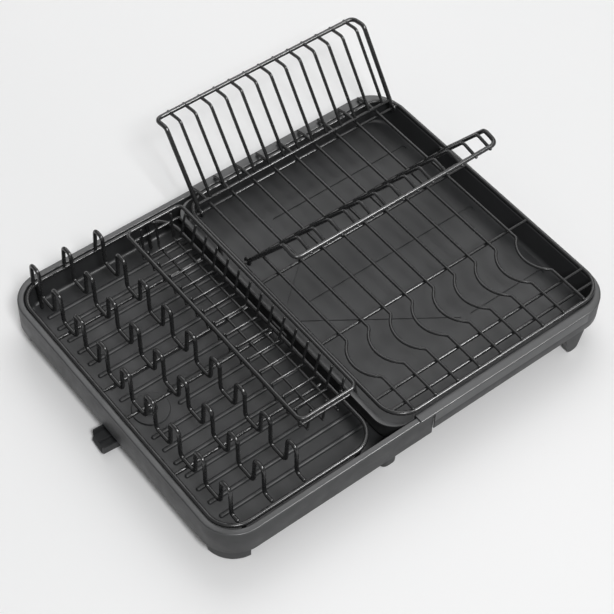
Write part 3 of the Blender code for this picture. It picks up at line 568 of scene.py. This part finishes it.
def box(x0, x1, y0, y1, z0, z1):
    bm = bmesh.new()
    bmesh.ops.create_cube(bm, size=1.0)
    bmesh.ops.scale(bm, verts=bm.verts, vec=((x1 - x0) * MM, (y1 - y0) * MM, (z1 - z0) * MM))
    bmesh.ops.translate(bm, verts=bm.verts,
                        vec=place((x0 + x1) / 2, (y0 + y1) / 2, (z0 + z1) / 2))
    return mesh_object(bm, "box")


def turned(profile, x, y, segments=72):
    """A solid turned about an upright axis; the profile runs from top to bottom."""
    mesh = bpy.data.meshes.new("profile")
    mesh.from_pydata([(r * MM, 0, z * MM) for r, z in profile],
                     [(i, i + 1) for i in range(len(profile) - 1)], [])
    obj = bpy.data.objects.new("turned", mesh)
    obj.location = place(x, y, 0)
    bpy.context.scene.collection.objects.link(obj)
    screw = obj.modifiers.new("turn", "SCREW")
    screw.axis = "Z"
    screw.steps = segments
    screw.render_steps = segments
    screw.use_merge_vertices = True
    screw.merge_threshold = 0.00001
    screw.use_normal_calculate = True
    bpy.context.view_layer.update()
    solid = baked(obj)
    bm = bmesh.new()
    bm.from_mesh(solid.data)
    bmesh.ops.recalc_face_normals(bm, faces=bm.faces)
    bm.to_mesh(solid.data)
    bm.free()
    return solid


def shell(rings, thickness):
    """A thin moulding: a skin lofted through rings from its edge to its floor."""
    bm = bmesh.new()
    loops = [[bm.verts.new(place(*point)) for point in ring] for ring in rings]
    for outer, inner in zip(loops, loops[1:]):
        count = len(outer)
        for i in range(count):
            j = (i + 1) % count
            bm.faces.new((outer[i], outer[j], inner[j], inner[i]))
    bm.faces.new(loops[-1])
    mesh = bpy.data.meshes.new("shell")
    bm.to_mesh(mesh)
    bm.free()
    obj = bpy.data.objects.new("shell", mesh)
    bpy.context.scene.collection.objects.link(obj)
    solid = obj.modifiers.new("wall", "SOLIDIFY")
    solid.thickness = thickness * MM
    solid.offset = -1.0
    solid.use_even_offset = True
    bpy.context.view_layer.update()
    return baked(obj)


def rounded(corner, side, radius, steps=5):
    """Profile points round an outside edge; side points from the corner into the solid."""
    (inset, z), (across, down) = corner, side
    points = []
    for step in range(steps + 1):
        angle = math.radians(90 * step / steps)
        points.append((inset + across * radius * (1 - math.cos(angle)),
                       z + down * radius * (1 - math.sin(angle))))
    return points if across > 0 else points[::-1]


def hollow(corner, radius, steps=7):
    """Profile points down a wall and round into the floor."""
    inset, z = corner
    return [(inset + radius * (1 - math.cos(math.radians(90 * step / steps))),
             z + radius * (1 - math.sin(math.radians(90 * step / steps)))) for step in range(steps + 1)]


def ring(inset, z, x0, x1, half, radius_left, radius_right):
    """One level ring of a tray, a given inset inside its outline."""
    left = max(radius_left - inset, 1.0)
    right = max(radius_right - inset, 1.0)
    plan = round_rect(x0 + inset, x1 - inset, -half + inset, half - inset, left, right)
    return [(x, y, z) for x, y in plan]


def rib_starts():
    """Each floor rib's place across the tray and where it starts."""
    first = RIB_CENTRE_Y - RIB_PITCH * (RIB_COUNT - 1) / 2
    for i in range(RIB_COUNT):
        y = first + RIB_PITCH * i
        past_drain = DRAIN_X + DRAIN_DISC_R + 2 * RIB_R
        yield y, past_drain if abs(y) < DRAIN_DISC_R + RIB_R + 1 else RIB_START


def base_tray():
    """The left tray, with a skirted rim on three sides and an open right end."""
    spare = 40.0
    top = RIM_HEIGHT
    inner = RIM_WIDTH
    end = BASE_LENGTH + spare
    levels = [(0.25, top - SKIRT_DROP), (0, top - SKIRT_DROP + 0.4), (0, top - 12.0)]
    levels += rounded((0, top), (1, -1), 1.3) + rounded((inner, top), (-1, -1), 0.9)
    levels += hollow((inner + WALL_DRAFT, FLOOR_Z), FLOOR_FILLET)
    tray = shell([ring(i, z, 0, end, HALF, CORNER_R, CORNER_R) for i, z in levels], WALL)
    ribs = [wire([(start, y, FLOOR_Z + RIB_RISE - RIB_R), (end - 16.0, y, FLOOR_Z + RIB_RISE - RIB_R)],
                 RIB_R) for y, start in rib_starts()]
    under = [box(20, end, -HALF + 20, HALF - 20, FLOOR_UNDER - 6, FLOOR_UNDER + WALL / 2)]
    ribbed = combine(ribs[0], ribs[1:], "UNION")
    ribbed = combine(ribbed, under, "DIFFERENCE")
    tray = combine(tray, [ribbed], "UNION")
    cuts = [box(BASE_LENGTH, end + 10, -HALF - 10, HALF + 10, -10, RIM_HEIGHT + 10),
            prism([(DRAIN_X + r * math.cos(a), r * math.sin(a)) for r, a in
                   ((STEM_R + STEM_CLEARANCE, math.radians(15 * i)) for i in range(24))],
                  FLOOR_UNDER - 5, FLOOR_Z + 5)]
    tray = combine(tray, cuts, "DIFFERENCE")
    side = HALF - RIM_WIDTH - WALL_DRAFT - WALL / 2
    sill = box(BASE_LENGTH - WALL, BASE_LENGTH - 0.01, -side, side,
               FLOOR_UNDER + WALL / 2, FLOOR_Z + END_SILL)
    # The rim's top faces get the lighter rim look: painted sheen.
    return finish(combine(tray, [sill], "UNION"), "base_tray", PLASTIC, painted_sheen_z=RIM_HEIGHT - 1.4)


def floor_marks():
    """Cutters for the drain grooves and the two folds in the extension tray's floor."""
    surface = EXT_FLOOR_Z
    marks = []
    for y, start in FLOOR_GROOVES:
        end, half = EXT_RIGHT - GROOVE_END, GROOVE_WIDTH / 2
        marks.append(prism(round_rect(start, end, y - half, y + half, half - 0.05, steps=10),
                           surface - GROOVE_DEPTH, surface + 1.0))
    for (x0, y0), (x1, y1) in FLOOR_FOLDS:
        along = Vector((x1 - x0, y1 - y0, 0)).normalized()
        across = Vector((-along.y, along.x, 0)) * FOLD_WIDTH / 2
        ends = Vector((x0, y0, 0)), Vector((x1, y1, 0))
        outline = [ends[0] - across, ends[1] - across, ends[1] + across, ends[0] + across]
        marks.append(prism([(p.x, p.y) for p in outline], surface - FOLD_DEPTH, surface + 1.0))
    return marks


def extension_tray():
    """The right tray: its skirt runs outside the base tray's, its tub runs inside it."""
    top = EXT_TOP
    half = EXT_HALF
    tub = HALF - RIM_WIDTH - GAP - WALL_DRAFT        # outer face of the tub's side walls
    wall_in = half - tub + EXT_WALL
    left = EXT_LEFT + EXT_LIP_WIDTH - wall_in
    groove = RIM_HEIGHT - SKIRT_GROOVE_DROP
    levels = [(0.25, RIM_HEIGHT - EXT_SKIRT_DROP), (0, RIM_HEIGHT - EXT_SKIRT_DROP + 0.4),
              (0, groove - 1.6), (0, groove - 1.3), (SKIRT_GROOVE_DEEP, groove - 0.1),
              (SKIRT_GROOVE_DEEP, groove + 0.45), (0, groove + 0.55), (0, groove + 0.85)]
    levels += rounded((0, top), (1, -1), 1.1) + rounded((wall_in, top), (-1, -1), 0.9)
    levels += hollow((wall_in + 0.6, EXT_FLOOR_Z), FLOOR_FILLET)
    inner_left = EXT_INNER_R + wall_in
    tray = shell([ring(i, z, left, EXT_RIGHT + (wall_in - EXT_END_RIM if i > 2 else 0), half,
                       inner_left, CORNER_R) for i, z in levels], EXT_WALL)
    flange_end = BASE_LENGTH - EXT_FLANGE_OVERLAP
    lip_top = RIM_HEIGHT - EXT_LIP_DROP
    tub_left = EXT_LEFT + EXT_LIP_WIDTH - EXT_WALL
    far = 30.0
    outside = box(left - far, BASE_LENGTH + GAP, -half - far, half + far, -far, RIM_HEIGHT + GAP)
    kept = prism(round_rect(tub_left - 0.15, BASE_LENGTH + far, -tub - 0.15, tub + 0.15,
                            EXT_INNER_R + EXT_WALL), -2 * far, RIM_HEIGHT + 2 * far)
    outside = combine(outside, [kept], "DIFFERENCE")
    above = box(left - far, flange_end, -half - far, half + far, lip_top, top + far)
    tray = combine(tray, [outside, above], "DIFFERENCE")
    ring_outer = prism(round_rect(EXT_LEFT, flange_end + far, -tub + 0.2, tub - 0.2,
                                  EXT_INNER_R + 2.0, 5.0),
                       lip_top - EXT_LIP_THICK, lip_top - 0.02)
    ring_inner = prism(round_rect(EXT_LEFT + EXT_LIP_WIDTH - 0.4, flange_end + 2 * far,
                                  -tub + EXT_WALL - 0.4, tub - EXT_WALL + 0.4, EXT_INNER_R, 5.0),
                       lip_top - EXT_LIP_THICK - far, lip_top + far)
    trim = box(flange_end - 1.0, flange_end + 2 * far, -half, half, -far, top + far)
    lip = combine(ring_outer, [ring_inner, trim], "DIFFERENCE")
    tray = combine(tray, [lip], "UNION")
    outlet = box(EXT_LEFT - far, EXT_LEFT + EXT_LIP_WIDTH + 5, -OUTLET_WIDTH / 2, OUTLET_WIDTH / 2,
                 EXT_FLOOR_Z + 0.4, EXT_FLOOR_Z + OUTLET_HEIGHT)
    marks = floor_marks()
    # The lip and flange tops get the lighter rim look: painted sheen.
    return finish(combine(tray, [outlet] + marks, "DIFFERENCE"), "extension_tray", PLASTIC,
                  painted_sheen_z=RIM_HEIGHT - EXT_LIP_DROP - 1.0)


def sector(cx, cy, inner, outer, start, end, steps=24):
    """Plan outline of a part of a ring."""
    angles = [math.radians(start + (end - start) * i / steps) for i in range(steps + 1)]
    outside = [(cx + outer * math.cos(a), cy + outer * math.sin(a)) for a in angles]
    inside = [(cx + inner * math.cos(a), cy + inner * math.sin(a)) for a in reversed(angles)]
    return outside + inside


def corner_feet():
    """A foot block under each of the base tray's round corners, with a rubber pad."""
    for side, label in ((-1, "front"), (1, "back")):
        cx, cy = CORNER_R, side * (HALF - CORNER_R)
        middle = 225 if side < 0 else 135
        for name, inset, z0, z1, look in (
                ("foot", 0.0, PAD_THICK + GAP, FLOOR_UNDER - GAP, PLASTIC),
                ("pad", PAD_INSET, 0.0, PAD_THICK, RUBBER)):
            spread = CORNER_FOOT_ANGLE / 2 - math.degrees(inset / CORNER_FOOT_R)
            outline = sector(cx, cy, CORNER_FOOT_INNER_R + inset, CORNER_FOOT_R - inset,
                             middle - spread, middle + spread)
            finish(prism(outline, z0, z1), "base_%s_%s_left" % (name, label), look)


def side_feet():
    """A short foot under each of the base tray's long sides, with a rubber pad."""
    x = BASE_LENGTH - SIDE_FOOT_FROM_END
    for side, label in ((-1, "front"), (1, "back")):
        y = side * (HALF - SIDE_FOOT_FROM_SKIRT)
        for name, inset, z0, z1, look in (
                ("foot", 0.0, PAD_THICK + GAP, FLOOR_UNDER - GAP, PLASTIC),
                ("pad", PAD_INSET, 0.0, PAD_THICK, RUBBER)):
            outline = round_rect(x - SIDE_FOOT_LENGTH / 2 + inset, x + SIDE_FOOT_LENGTH / 2 - inset,
                                 y - SIDE_FOOT_WIDTH / 2 + inset, y + SIDE_FOOT_WIDTH / 2 - inset,
                                 SIDE_FOOT_WIDTH / 2 - inset - 0.5, steps=4)
            finish(prism(outline, z0, z1), "base_%s_%s_right" % (name, label), look)


def fin(width, foot, top, x, y, yaw):
    """An upright fin with a round foot, turned about its own upright axis."""
    bottom_r = foot / 2
    profile = [(-width / 2, top), (-width / 2, top - 4.0)]
    profile += [(-bottom_r * math.cos(a), bottom_r * (1 - math.sin(a)) * 0.7)
                for a in (math.radians(15 + 25 * i) for i in range(7))]
    profile += [(width / 2, top - 4.0), (width / 2, top)]
    bm = bmesh.new()
    turn = math.radians(yaw)
    across = Vector((math.cos(turn), math.sin(turn), 0))
    depth = Vector((-math.sin(turn), math.cos(turn), 0)) * FIN_THICK
    start = Vector((x, y, 0)) - depth / 2
    face = bm.faces.new([bm.verts.new(place(*(start + across * u + Vector((0, 0, z)))))
                         for u, z in profile])
    swept = bmesh.ops.extrude_face_region(bm, geom=[face])
    moved = [v for v in swept["geom"] if isinstance(v, bmesh.types.BMVert)]
    bmesh.ops.translate(bm, verts=moved, vec=depth * MM)
    return mesh_object(bm, "fin")


def fin_feet():
    """Two fins under each of the extension tray's far corners."""
    low = EXT_FLOOR_Z - EXT_WALL - GAP
    for side, label in ((-1, "front"), (1, "back")):
        x = EXT_RIGHT - FIN_FROM_END + FIN_WIDTH / 2
        y = side * (EXT_HALF - FIN_FROM_SKIRT)
        finish(fin(FIN_WIDTH, FIN_FOOT, RIM_HEIGHT - EXT_SKIRT_DROP + 8.0, x, y, 0),
               "extension_fin_" + label, PLASTIC)
        x = EXT_RIGHT - CORNER_FIN_FROM_END
        y = side * (EXT_HALF - CORNER_FIN_FROM_SIDE)
        finish(fin(CORNER_FIN_WIDTH, FIN_FOOT, low, x, y, -side * CORNER_FIN_YAW),
               "extension_corner_fin_" + label, PLASTIC)


def drain():
    """The slotted drain disc with its knob and stem, which turn with the spout."""
    disc_top = FLOOR_Z + GAP + DRAIN_DISC_THICK
    knob_top = disc_top + DRAIN_KNOB_HEIGHT
    stem_bottom = FLOOR_UNDER - SPOUT_UNDER_FLOOR + GAP
    profile = [(0, knob_top), (DRAIN_KNOB_R * 0.6, knob_top - 0.3), (DRAIN_KNOB_R * 0.9, knob_top - 1.6),
               (DRAIN_KNOB_R, knob_top - 3.0), (DRAIN_KNOB_R, disc_top + 0.8),
               (DRAIN_KNOB_R + 0.8, disc_top), (DRAIN_DISC_R - 0.6, disc_top),
               (DRAIN_DISC_R, disc_top - 0.6), (DRAIN_DISC_R, disc_top - DRAIN_DISC_THICK),
               (STEM_R, disc_top - DRAIN_DISC_THICK), (STEM_R, stem_bottom), (0, stem_bottom)]
    disc = turned(profile, DRAIN_X, 0)
    bore = prism([(DRAIN_X + 4.2 * math.cos(math.radians(22.5 * i)),
                   4.2 * math.sin(math.radians(22.5 * i))) for i in range(16)],
                 stem_bottom - 5, disc_top - 0.4)
    reach = DRAIN_DISC_R - 2.5
    slots = [box(DRAIN_X - reach, DRAIN_X + reach, -DRAIN_SLOT_WIDTH / 2, DRAIN_SLOT_WIDTH / 2,
                 FLOOR_Z - 0.6, FLOOR_Z + GAP + 0.7),
             box(DRAIN_X - DRAIN_SLOT_WIDTH / 2, DRAIN_X + DRAIN_SLOT_WIDTH / 2, -reach, reach,
                 FLOOR_Z - 0.6, FLOOR_Z + GAP + 0.7)]
    # The knob's upper faces get the lighter rim look: a painted highlight.
    return finish(combine(disc, [bore] + slots, "DIFFERENCE"), "drain_disc", PLASTIC,
                  painted_sheen_z=FLOOR_Z + DRAIN_DISC_THICK + 1.0)


def seal():
    """The flat rubber washer between the tray floor and the spout."""
    z0 = FLOOR_UNDER - SPOUT_UNDER_FLOOR + GAP
    z1 = FLOOR_UNDER - GAP
    inner = STEM_R + STEM_CLEARANCE
    profile = [(inner, z1), (SEAL_R, z1), (SEAL_R, z0), (inner, z0), (inner, z1)]
    return finish(turned(profile, DRAIN_X, 0), "drain_seal", RUBBER)


def spout():
    """The open swivel channel under the left end, with its round hub on the drain axis."""
    top = FLOOR_UNDER - SPOUT_UNDER_FLOOR
    bottom = top - SPOUT_HEIGHT
    half = SPOUT_WIDTH / 2

    def outline(inset, tip):
        hub = SPOUT_HUB_R - inset
        side = half - inset
        start = math.degrees(math.asin(side / hub))
        arc = [math.radians(-180 + start + (360 - 2 * start) * i / 20) for i in range(21)]
        points = [(hub * math.cos(a), hub * math.sin(a)) for a in arc]
        return points + [(-SPOUT_LENGTH + tip + 4.0, side), (-SPOUT_LENGTH + tip, side - 5.0),
                         (-SPOUT_LENGTH + tip, -side + 2.0), (-SPOUT_LENGTH + tip + 1.5, -side)]

    turn = math.radians(SPOUT_REST_ANGLE)

    def spun(points):
        return [(DRAIN_X + x * math.cos(turn) - y * math.sin(turn),
                 x * math.sin(turn) + y * math.cos(turn)) for x, y in points]

    channel = prism(spun(outline(0, 0)), bottom, top)
    hollow = prism(spun(outline(SPOUT_WALL, -10)), bottom + SPOUT_WALL, top + 10)
    channel = combine(channel, [hollow], "DIFFERENCE")
    ridge = prism(spun([(-SPOUT_LENGTH + 3, -0.9), (-SPOUT_HUB_R, -0.9),
                        (-SPOUT_HUB_R, 0.9), (-SPOUT_LENGTH + 3, 0.9)]),
                  bottom + SPOUT_WALL / 2, bottom + SPOUT_HEIGHT * 0.62)
    collar_in = STEM_R - 1.6
    post = turned([(collar_in, top - 0.02), (STEM_R + 3.0, top - 0.02), (STEM_R + 3.0, top - 2.2),
                   (collar_in, top - 2.2), (collar_in, top - 0.02)], DRAIN_X, 0)
    arms = [prism(spun([(-SPOUT_HUB_R + 1, -1.5), (-STEM_R, -1.5), (-STEM_R, 1.5),
                        (-SPOUT_HUB_R + 1, 1.5)]), bottom + 0.8, top - 0.4),
            prism(spun([(STEM_R, -1.5), (SPOUT_HUB_R - 0.8, -1.5), (SPOUT_HUB_R - 0.8, 1.5),
                        (STEM_R, 1.5)]), bottom + 0.8, top - 0.4)]
    return finish(combine(channel, [ridge, post] + arms, "UNION"), "drain_spout", PLASTIC)


def dish_rack():
    """Frame wire and four cross wires, welded into one grille."""
    x0, x1 = DISH_LEFT, DISH_LEFT + DISH_LENGTH
    half = DISH_DEPTH / 2
    frame = wire([(x, y, DISH_Z) for x, y in round_rect(x0, x1, -half, half, DISH_R, steps=16)],
                 FRAME_R, closed=True)
    pieces = []
    for y in cross_wire_ys():
        rise = FRAME_R + CROSS_R - WELD
        ends = [(x0, y, DISH_Z - rise), (x0 + 6, y, CROSS_Z), (x1 - 6, y, CROSS_Z),
                (x1 - 1.0, y, DISH_Z - rise)]
        pieces.append(wire(ends, CROSS_R))
    return finish(weld(frame, pieces), "dish_rack_frame", WIRE)


def leg(top, bottom, name):
    """A wire leg that stands just under a frame wire."""
    return finish(wire([top, bottom], LEG_R), name, WIRE)


def dish_legs():
    """Four legs on which the dish rack stands in the base tray."""
    top = DISH_Z - 0.5
    for x, end in ((DISH_LEFT + DISH_LEG_INSET, "left"),
                   (DISH_LEFT + DISH_LENGTH - DISH_LEG_INSET, "right")):
        reach = DISH_DEPTH / 2 - corner_inset(DISH_LEG_INSET, DISH_R)
        for side, label in ((-1, "front"), (1, "back")):
            leg((x, side * reach, top), (x, side * (reach - DISH_LEG_LEAN), FLOOR_Z + 0.6),
                "dish_rack_leg_%s_%s" % (label, end))


def loop_ys():
    """Middles of the plate prong loops, from the back one to the front one."""
    first = DISH_DEPTH / 2 - LOOP_FIRST
    return [first - LOOP_PITCH * i for i in range(LOOPS)]


def cross_wire_ys():
    ys = loop_ys()
    return [(ys[i] + ys[i + 1]) / 2 for i in CROSS_LINKS]


def prongs():
    """Zigzag wires that stand the plates up, one node each."""
    top = DISH_Z + LOOP_HEIGHT
    for column, label in enumerate(("left", "middle", "right")[:PRONG_COLUMNS]):
        x = DISH_LEFT + PRONG_FIRST_X + PRONG_SPACING * column
        corners = []
        for y in loop_ys():
            corners += [(x, y + LOOP_BASE / 2, DISH_Z), (x, y + LOOP_TOP / 2, top),
                        (x, y - LOOP_TOP / 2, top), (x, y - LOOP_BASE / 2, DISH_Z)]
        edge = DISH_DEPTH / 2 - corner_inset(x - DISH_LEFT, DISH_R)
        corners[0] = (x, edge - 1.2, DISH_Z + PRONG_END_ROOM)
        corners.append((x, -edge + PRONG_END_ROOM, DISH_Z))
        finish(wire(bent(corners, LOOP_TOP / 2), PRONG_R), "prong_wire_" + label, WIRE)


def basket():
    """Top rail, two long sides, two ends and a floor, each a flat grille of wires."""
    left = DISH_LEFT + BASKET_LEFT
    right = left + BASKET_WIDTH
    front = -DISH_DEPTH / 2 + BASKET_FRONT
    back = front + BASKET_LENGTH
    top = BASKET_TOP_Z
    finish(wire([(x, y, top) for x, y in round_rect(left, right, front, back, BASKET_R, steps=12)],
                BASKET_RAIL_R, closed=True), "basket_top_rail", WIRE)
    touch = BASKET_RAIL_R + BASKET_WIRE_R + GAP
    mid_z = top - BASKET_MID_DROP
    share = BASKET_MID_DROP / BASKET_HEIGHT
    foot_z = BASKET_FLOOR_Z + BASKET_WIRE_R + GAP
    first = (front + back) / 2 - BASKET_WIRE_PITCH * (BASKET_WIRES - 1) / 2
    rows = [first + BASKET_WIRE_PITCH * i for i in range(BASKET_WIRES)]
    columns = [(left + right) / 2 + BASKET_LONG_PITCH * (i - (BASKET_LONG_WIRES - 1) / 2)
               for i in range(BASKET_LONG_WIRES)]
    reach = BASKET_WIRE_PITCH * 0.32
    for sign, edge, label in ((1, left, "left"), (-1, right, "right")):
        upper, lower = edge + sign * touch, edge + sign * (touch + BASKET_DRAFT)
        at_mid = upper + (lower - upper) * share
        rail_x = at_mid - sign * (2 * BASKET_WIRE_R - WELD)
        rail = wire([(rail_x, rows[0] - reach, mid_z), (rail_x, rows[-1] + reach, mid_z)],
                    BASKET_WIRE_R)
        posts = [wire([(upper, y, top + 0.6), (lower, y, foot_z)], BASKET_WIRE_R) for y in rows]
        finish(weld(rail, posts), "basket_side_" + label, WIRE)
    for sign, edge, label in ((1, front, "front"), (-1, back, "back")):
        upper, lower = edge + sign * touch, edge + sign * (touch + BASKET_END_DRAFT)
        at_mid = upper + (lower - upper) * share
        rail_y = at_mid - sign * (2 * BASKET_WIRE_R - WELD)
        side = touch + BASKET_DRAFT * share - 2 * BASKET_WIRE_R + WELD
        turn = rows[0] - reach - GAP if sign > 0 else rows[-1] + reach + GAP
        corners = [(left + side, turn, mid_z), (left + side, rail_y, mid_z),
                   (right - side, rail_y, mid_z), (right - side, turn, mid_z)]
        rail = wire(bent(corners, BASKET_R), BASKET_WIRE_R)
        posts = [wire([(x, upper, top + 0.6), (x, lower, BASKET_LONG_Z + BASKET_WIRE_R + GAP)],
                      BASKET_WIRE_R) for x in columns]
        finish(weld(rail, posts), "basket_end_" + label, WIRE)
    inset = touch + BASKET_DRAFT
    end_inset = touch + BASKET_END_DRAFT
    floor = [wire([(x, front + end_inset - BASKET_WIRE_R, BASKET_LONG_Z),
                   (x, back - end_inset + BASKET_WIRE_R, BASKET_LONG_Z)], BASKET_WIRE_R)
             for x in columns]
    floor += [wire([(left + inset - BASKET_WIRE_R, y, BASKET_FLOOR_Z),
                    (right - inset + BASKET_WIRE_R, y, BASKET_FLOOR_Z)], BASKET_WIRE_R) for y in rows]
    finish(weld(floor[0], floor[1:]), "basket_floor", WIRE)


def bar_path(x, front, back):
    """One top wire of the cup rack, with its round scallop for a cup or glass stem."""
    start = CUP_CROSS_Y[1] - SCALLOP_START
    half = SCALLOP_CHORD / 2
    radius = (half ** 2 + SCALLOP_DEPTH ** 2) / (2 * SCALLOP_DEPTH)
    spread = math.asin(half / radius)
    seat = CUP_Z + FRAME_R + TOP_WIRE_R - WELD
    path = [(x, back + NUB_OVERHANG, EXT_TOP + GAP + TOP_WIRE_R), (x, back + 2, seat - 0.4),
            (x, back, seat), (x, back - 7, BAR_Z), (x, start + 1.2, BAR_Z)]
    for i in range(1, SCALLOP_STEPS):
        angle = spread - 2 * spread * i / SCALLOP_STEPS
        path.append((x + radius * (math.cos(spread) - math.cos(angle)),
                     start - half + radius * math.sin(angle), BAR_Z))
    path += [(x, start - SCALLOP_CHORD - 1.2, BAR_Z), (x, front + 7, BAR_Z), (x, front, seat)]
    return path


def cup_rack():
    """Frame, cross wires, pivot wires and scalloped top wires, welded into one grille."""
    x0, x1 = CUP_LEFT, CUP_LEFT + CUP_LENGTH
    front, back = -HALF + CUP_FRONT, HALF - CUP_BACK
    frame = wire([(x, y, CUP_Z) for x, y in round_rect(x0, x1, front, back, CUP_R, steps=16)],
                 FRAME_R, closed=True)
    pieces = []
    for y in CUP_CROSS_Y + (PIVOT_BACK_Y, PIVOT_FRONT_Y):
        inset = corner_inset(min(y - front, back - y), CUP_R)
        pieces.append(wire([(x0 + inset, y, CUP_Z), (x1 - inset, y, CUP_Z)], CROSS_R))
    for i in range(BAR_COUNT):
        pieces.append(wire(bar_path(x0 + BAR_FIRST + BAR_PITCH * i, front, back), TOP_WIRE_R))
    return finish(weld(frame, pieces), "cup_rack_grille", WIRE)


def cup_legs():
    """Two legs that carry the cup rack's left side on the extension tray's floor."""
    top = CUP_Z - 0.5
    for y, label in ((-CUP_LEG_Y, "front"), (CUP_LEG_Y, "back")):
        leg((CUP_LEFT, y, top), (CUP_LEFT + CUP_LEG_LEAN, y, EXT_FLOOR_Z + 0.6),
            "cup_rack_leg_" + label)


def fence(pivot_y, lean_sign, name):
    """A bent wire fence with eyes that turn on a pivot wire of the cup rack."""
    lean = math.radians(FENCE_LEAN)
    turned_over = lean + math.radians(FENCE_TOP_TURN)
    up = Vector((0, lean_sign * math.sin(lean), math.cos(lean)))
    over = Vector((0, lean_sign * math.sin(turned_over), math.cos(turned_over)))
    left = CUP_LEFT + FENCE_LEFT_INSET
    right = CUP_LEFT + CUP_LENGTH - FENCE_RIGHT_INSET

    def line(x, start, past=0.0):
        foot = Vector((x, pivot_y, CUP_Z)) + up * start
        bend = Vector((x, pivot_y, CUP_Z)) + up * FENCE_POST
        return [foot, bend, bend + over * (FENCE_TOP + past)]

    eye_r = CROSS_R + GAP + EYE_R + 0.1
    first = line(left, eye_r)
    last = line(right, eye_r)
    frame = wire(bent(first + last[::-1], 7.0), FENCE_R)
    pieces = []
    for x in (left, right):
        eye = [(x, pivot_y + eye_r * math.cos(math.radians(15 * i)),
                CUP_Z + eye_r * math.sin(math.radians(15 * i))) for i in range(24)]
        pieces.append(wire(eye, EYE_R, closed=True))
    rail = Vector((0, pivot_y, CUP_Z)) + up * FENCE_RAIL_UP
    pieces.append(wire([(left, rail.y, rail.z), (right, rail.y, rail.z)], FENCE_RAIL_R))
    span = right - left - FENCE_FIRST_WIRE - FENCE_LAST_WIRE
    for i in range(FENCE_WIRES):
        x = left + FENCE_FIRST_WIRE + span * i / (FENCE_WIRES - 1)
        pieces.append(wire(bent(line(x, FENCE_RAIL_UP, FENCE_NUB), 6.0), THIN_R))
    return finish(weld(frame, pieces), name, WIRE)


def floor():
    """The pale ground that the rack stands on."""
    bm = bmesh.new()
    bmesh.ops.create_grid(bm, x_segments=2, y_segments=2, size=6.0)
    ground = mesh_object(bm, "ground")
    if ground.data.polygons[0].normal.z < 0:
        ground.data.flip_normals()
    made, tree, shader = shader_nodes("ground")
    colour = mixed(tree, noise(tree, 1.5), (0.84, 0.845, 0.85), (0.87, 0.87, 0.875))
    tree.links.new(colour, shader.inputs["Base Color"])
    shader.inputs["Roughness"].default_value = 0.6
    shader.inputs["Specular IOR Level"].default_value = 0.2
    ground.data.materials.append(made)


def light(name, lamp_at, diffuse=True):
    """A square area lamp that looks at the rack."""
    at, side, power = lamp_at
    lamp = bpy.data.lights.new(name, "AREA")
    lamp.size = side
    lamp.energy = power
    obj = bpy.data.objects.new(name, lamp)
    obj.location = at
    obj.rotation_euler = (-Vector(at)).to_track_quat("-Z", "Y").to_euler()
    obj.visible_diffuse = diffuse
    bpy.context.scene.collection.objects.link(obj)


def lighting():
    """A pale, even room and three lamps."""
    world = bpy.data.worlds.new("studio")
    world.use_nodes = True
    background = world.node_tree.nodes["Background"]
    background.inputs["Color"].default_value = WORLD_COLOUR
    background.inputs["Strength"].default_value = WORLD_STRENGTH
    bpy.context.scene.world = world
    light("key", KEY)
    light("back", BACK)
    light("glint", GLINT, diffuse=False)
    bpy.context.scene.view_settings.view_transform = "Standard"


def camera():
    """The view, turned by the camera's azimuth, elevation and roll."""
    azimuth, elevation = math.radians(CAMERA_AZIMUTH), math.radians(CAMERA_ELEVATION)
    roll = math.radians(CAMERA_ROLL)
    back = Vector((math.sin(azimuth) * math.cos(elevation),
                   -math.cos(azimuth) * math.cos(elevation), math.sin(elevation)))
    level = Vector((math.cos(azimuth), math.sin(azimuth), 0.0))
    rise = back.cross(level)
    right = level * math.cos(roll) + rise * math.sin(roll)
    up = rise * math.cos(roll) - level * math.sin(roll)
    data = bpy.data.cameras.new("camera")
    data.lens = CAMERA_LENS
    data.sensor_width = 36.0
    data.clip_start, data.clip_end = 0.05, 30.0
    obj = bpy.data.objects.new("camera", data)
    turn = Matrix((right, up, back)).transposed().to_4x4()
    obj.matrix_world = Matrix.Translation(place(*CAMERA_AT)) @ turn
    bpy.context.scene.collection.objects.link(obj)
    bpy.context.scene.camera = obj


base_tray()
extension_tray()
corner_feet()
side_feet()
fin_feet()
drain()
seal()
spout()
dish_rack()
dish_legs()
prongs()
basket()
cup_rack()
cup_legs()
fence(PIVOT_BACK_Y, 1, "rear_fence")
fence(PIVOT_FRONT_Y, -1, "front_fence")
floor()
lighting()
camera()
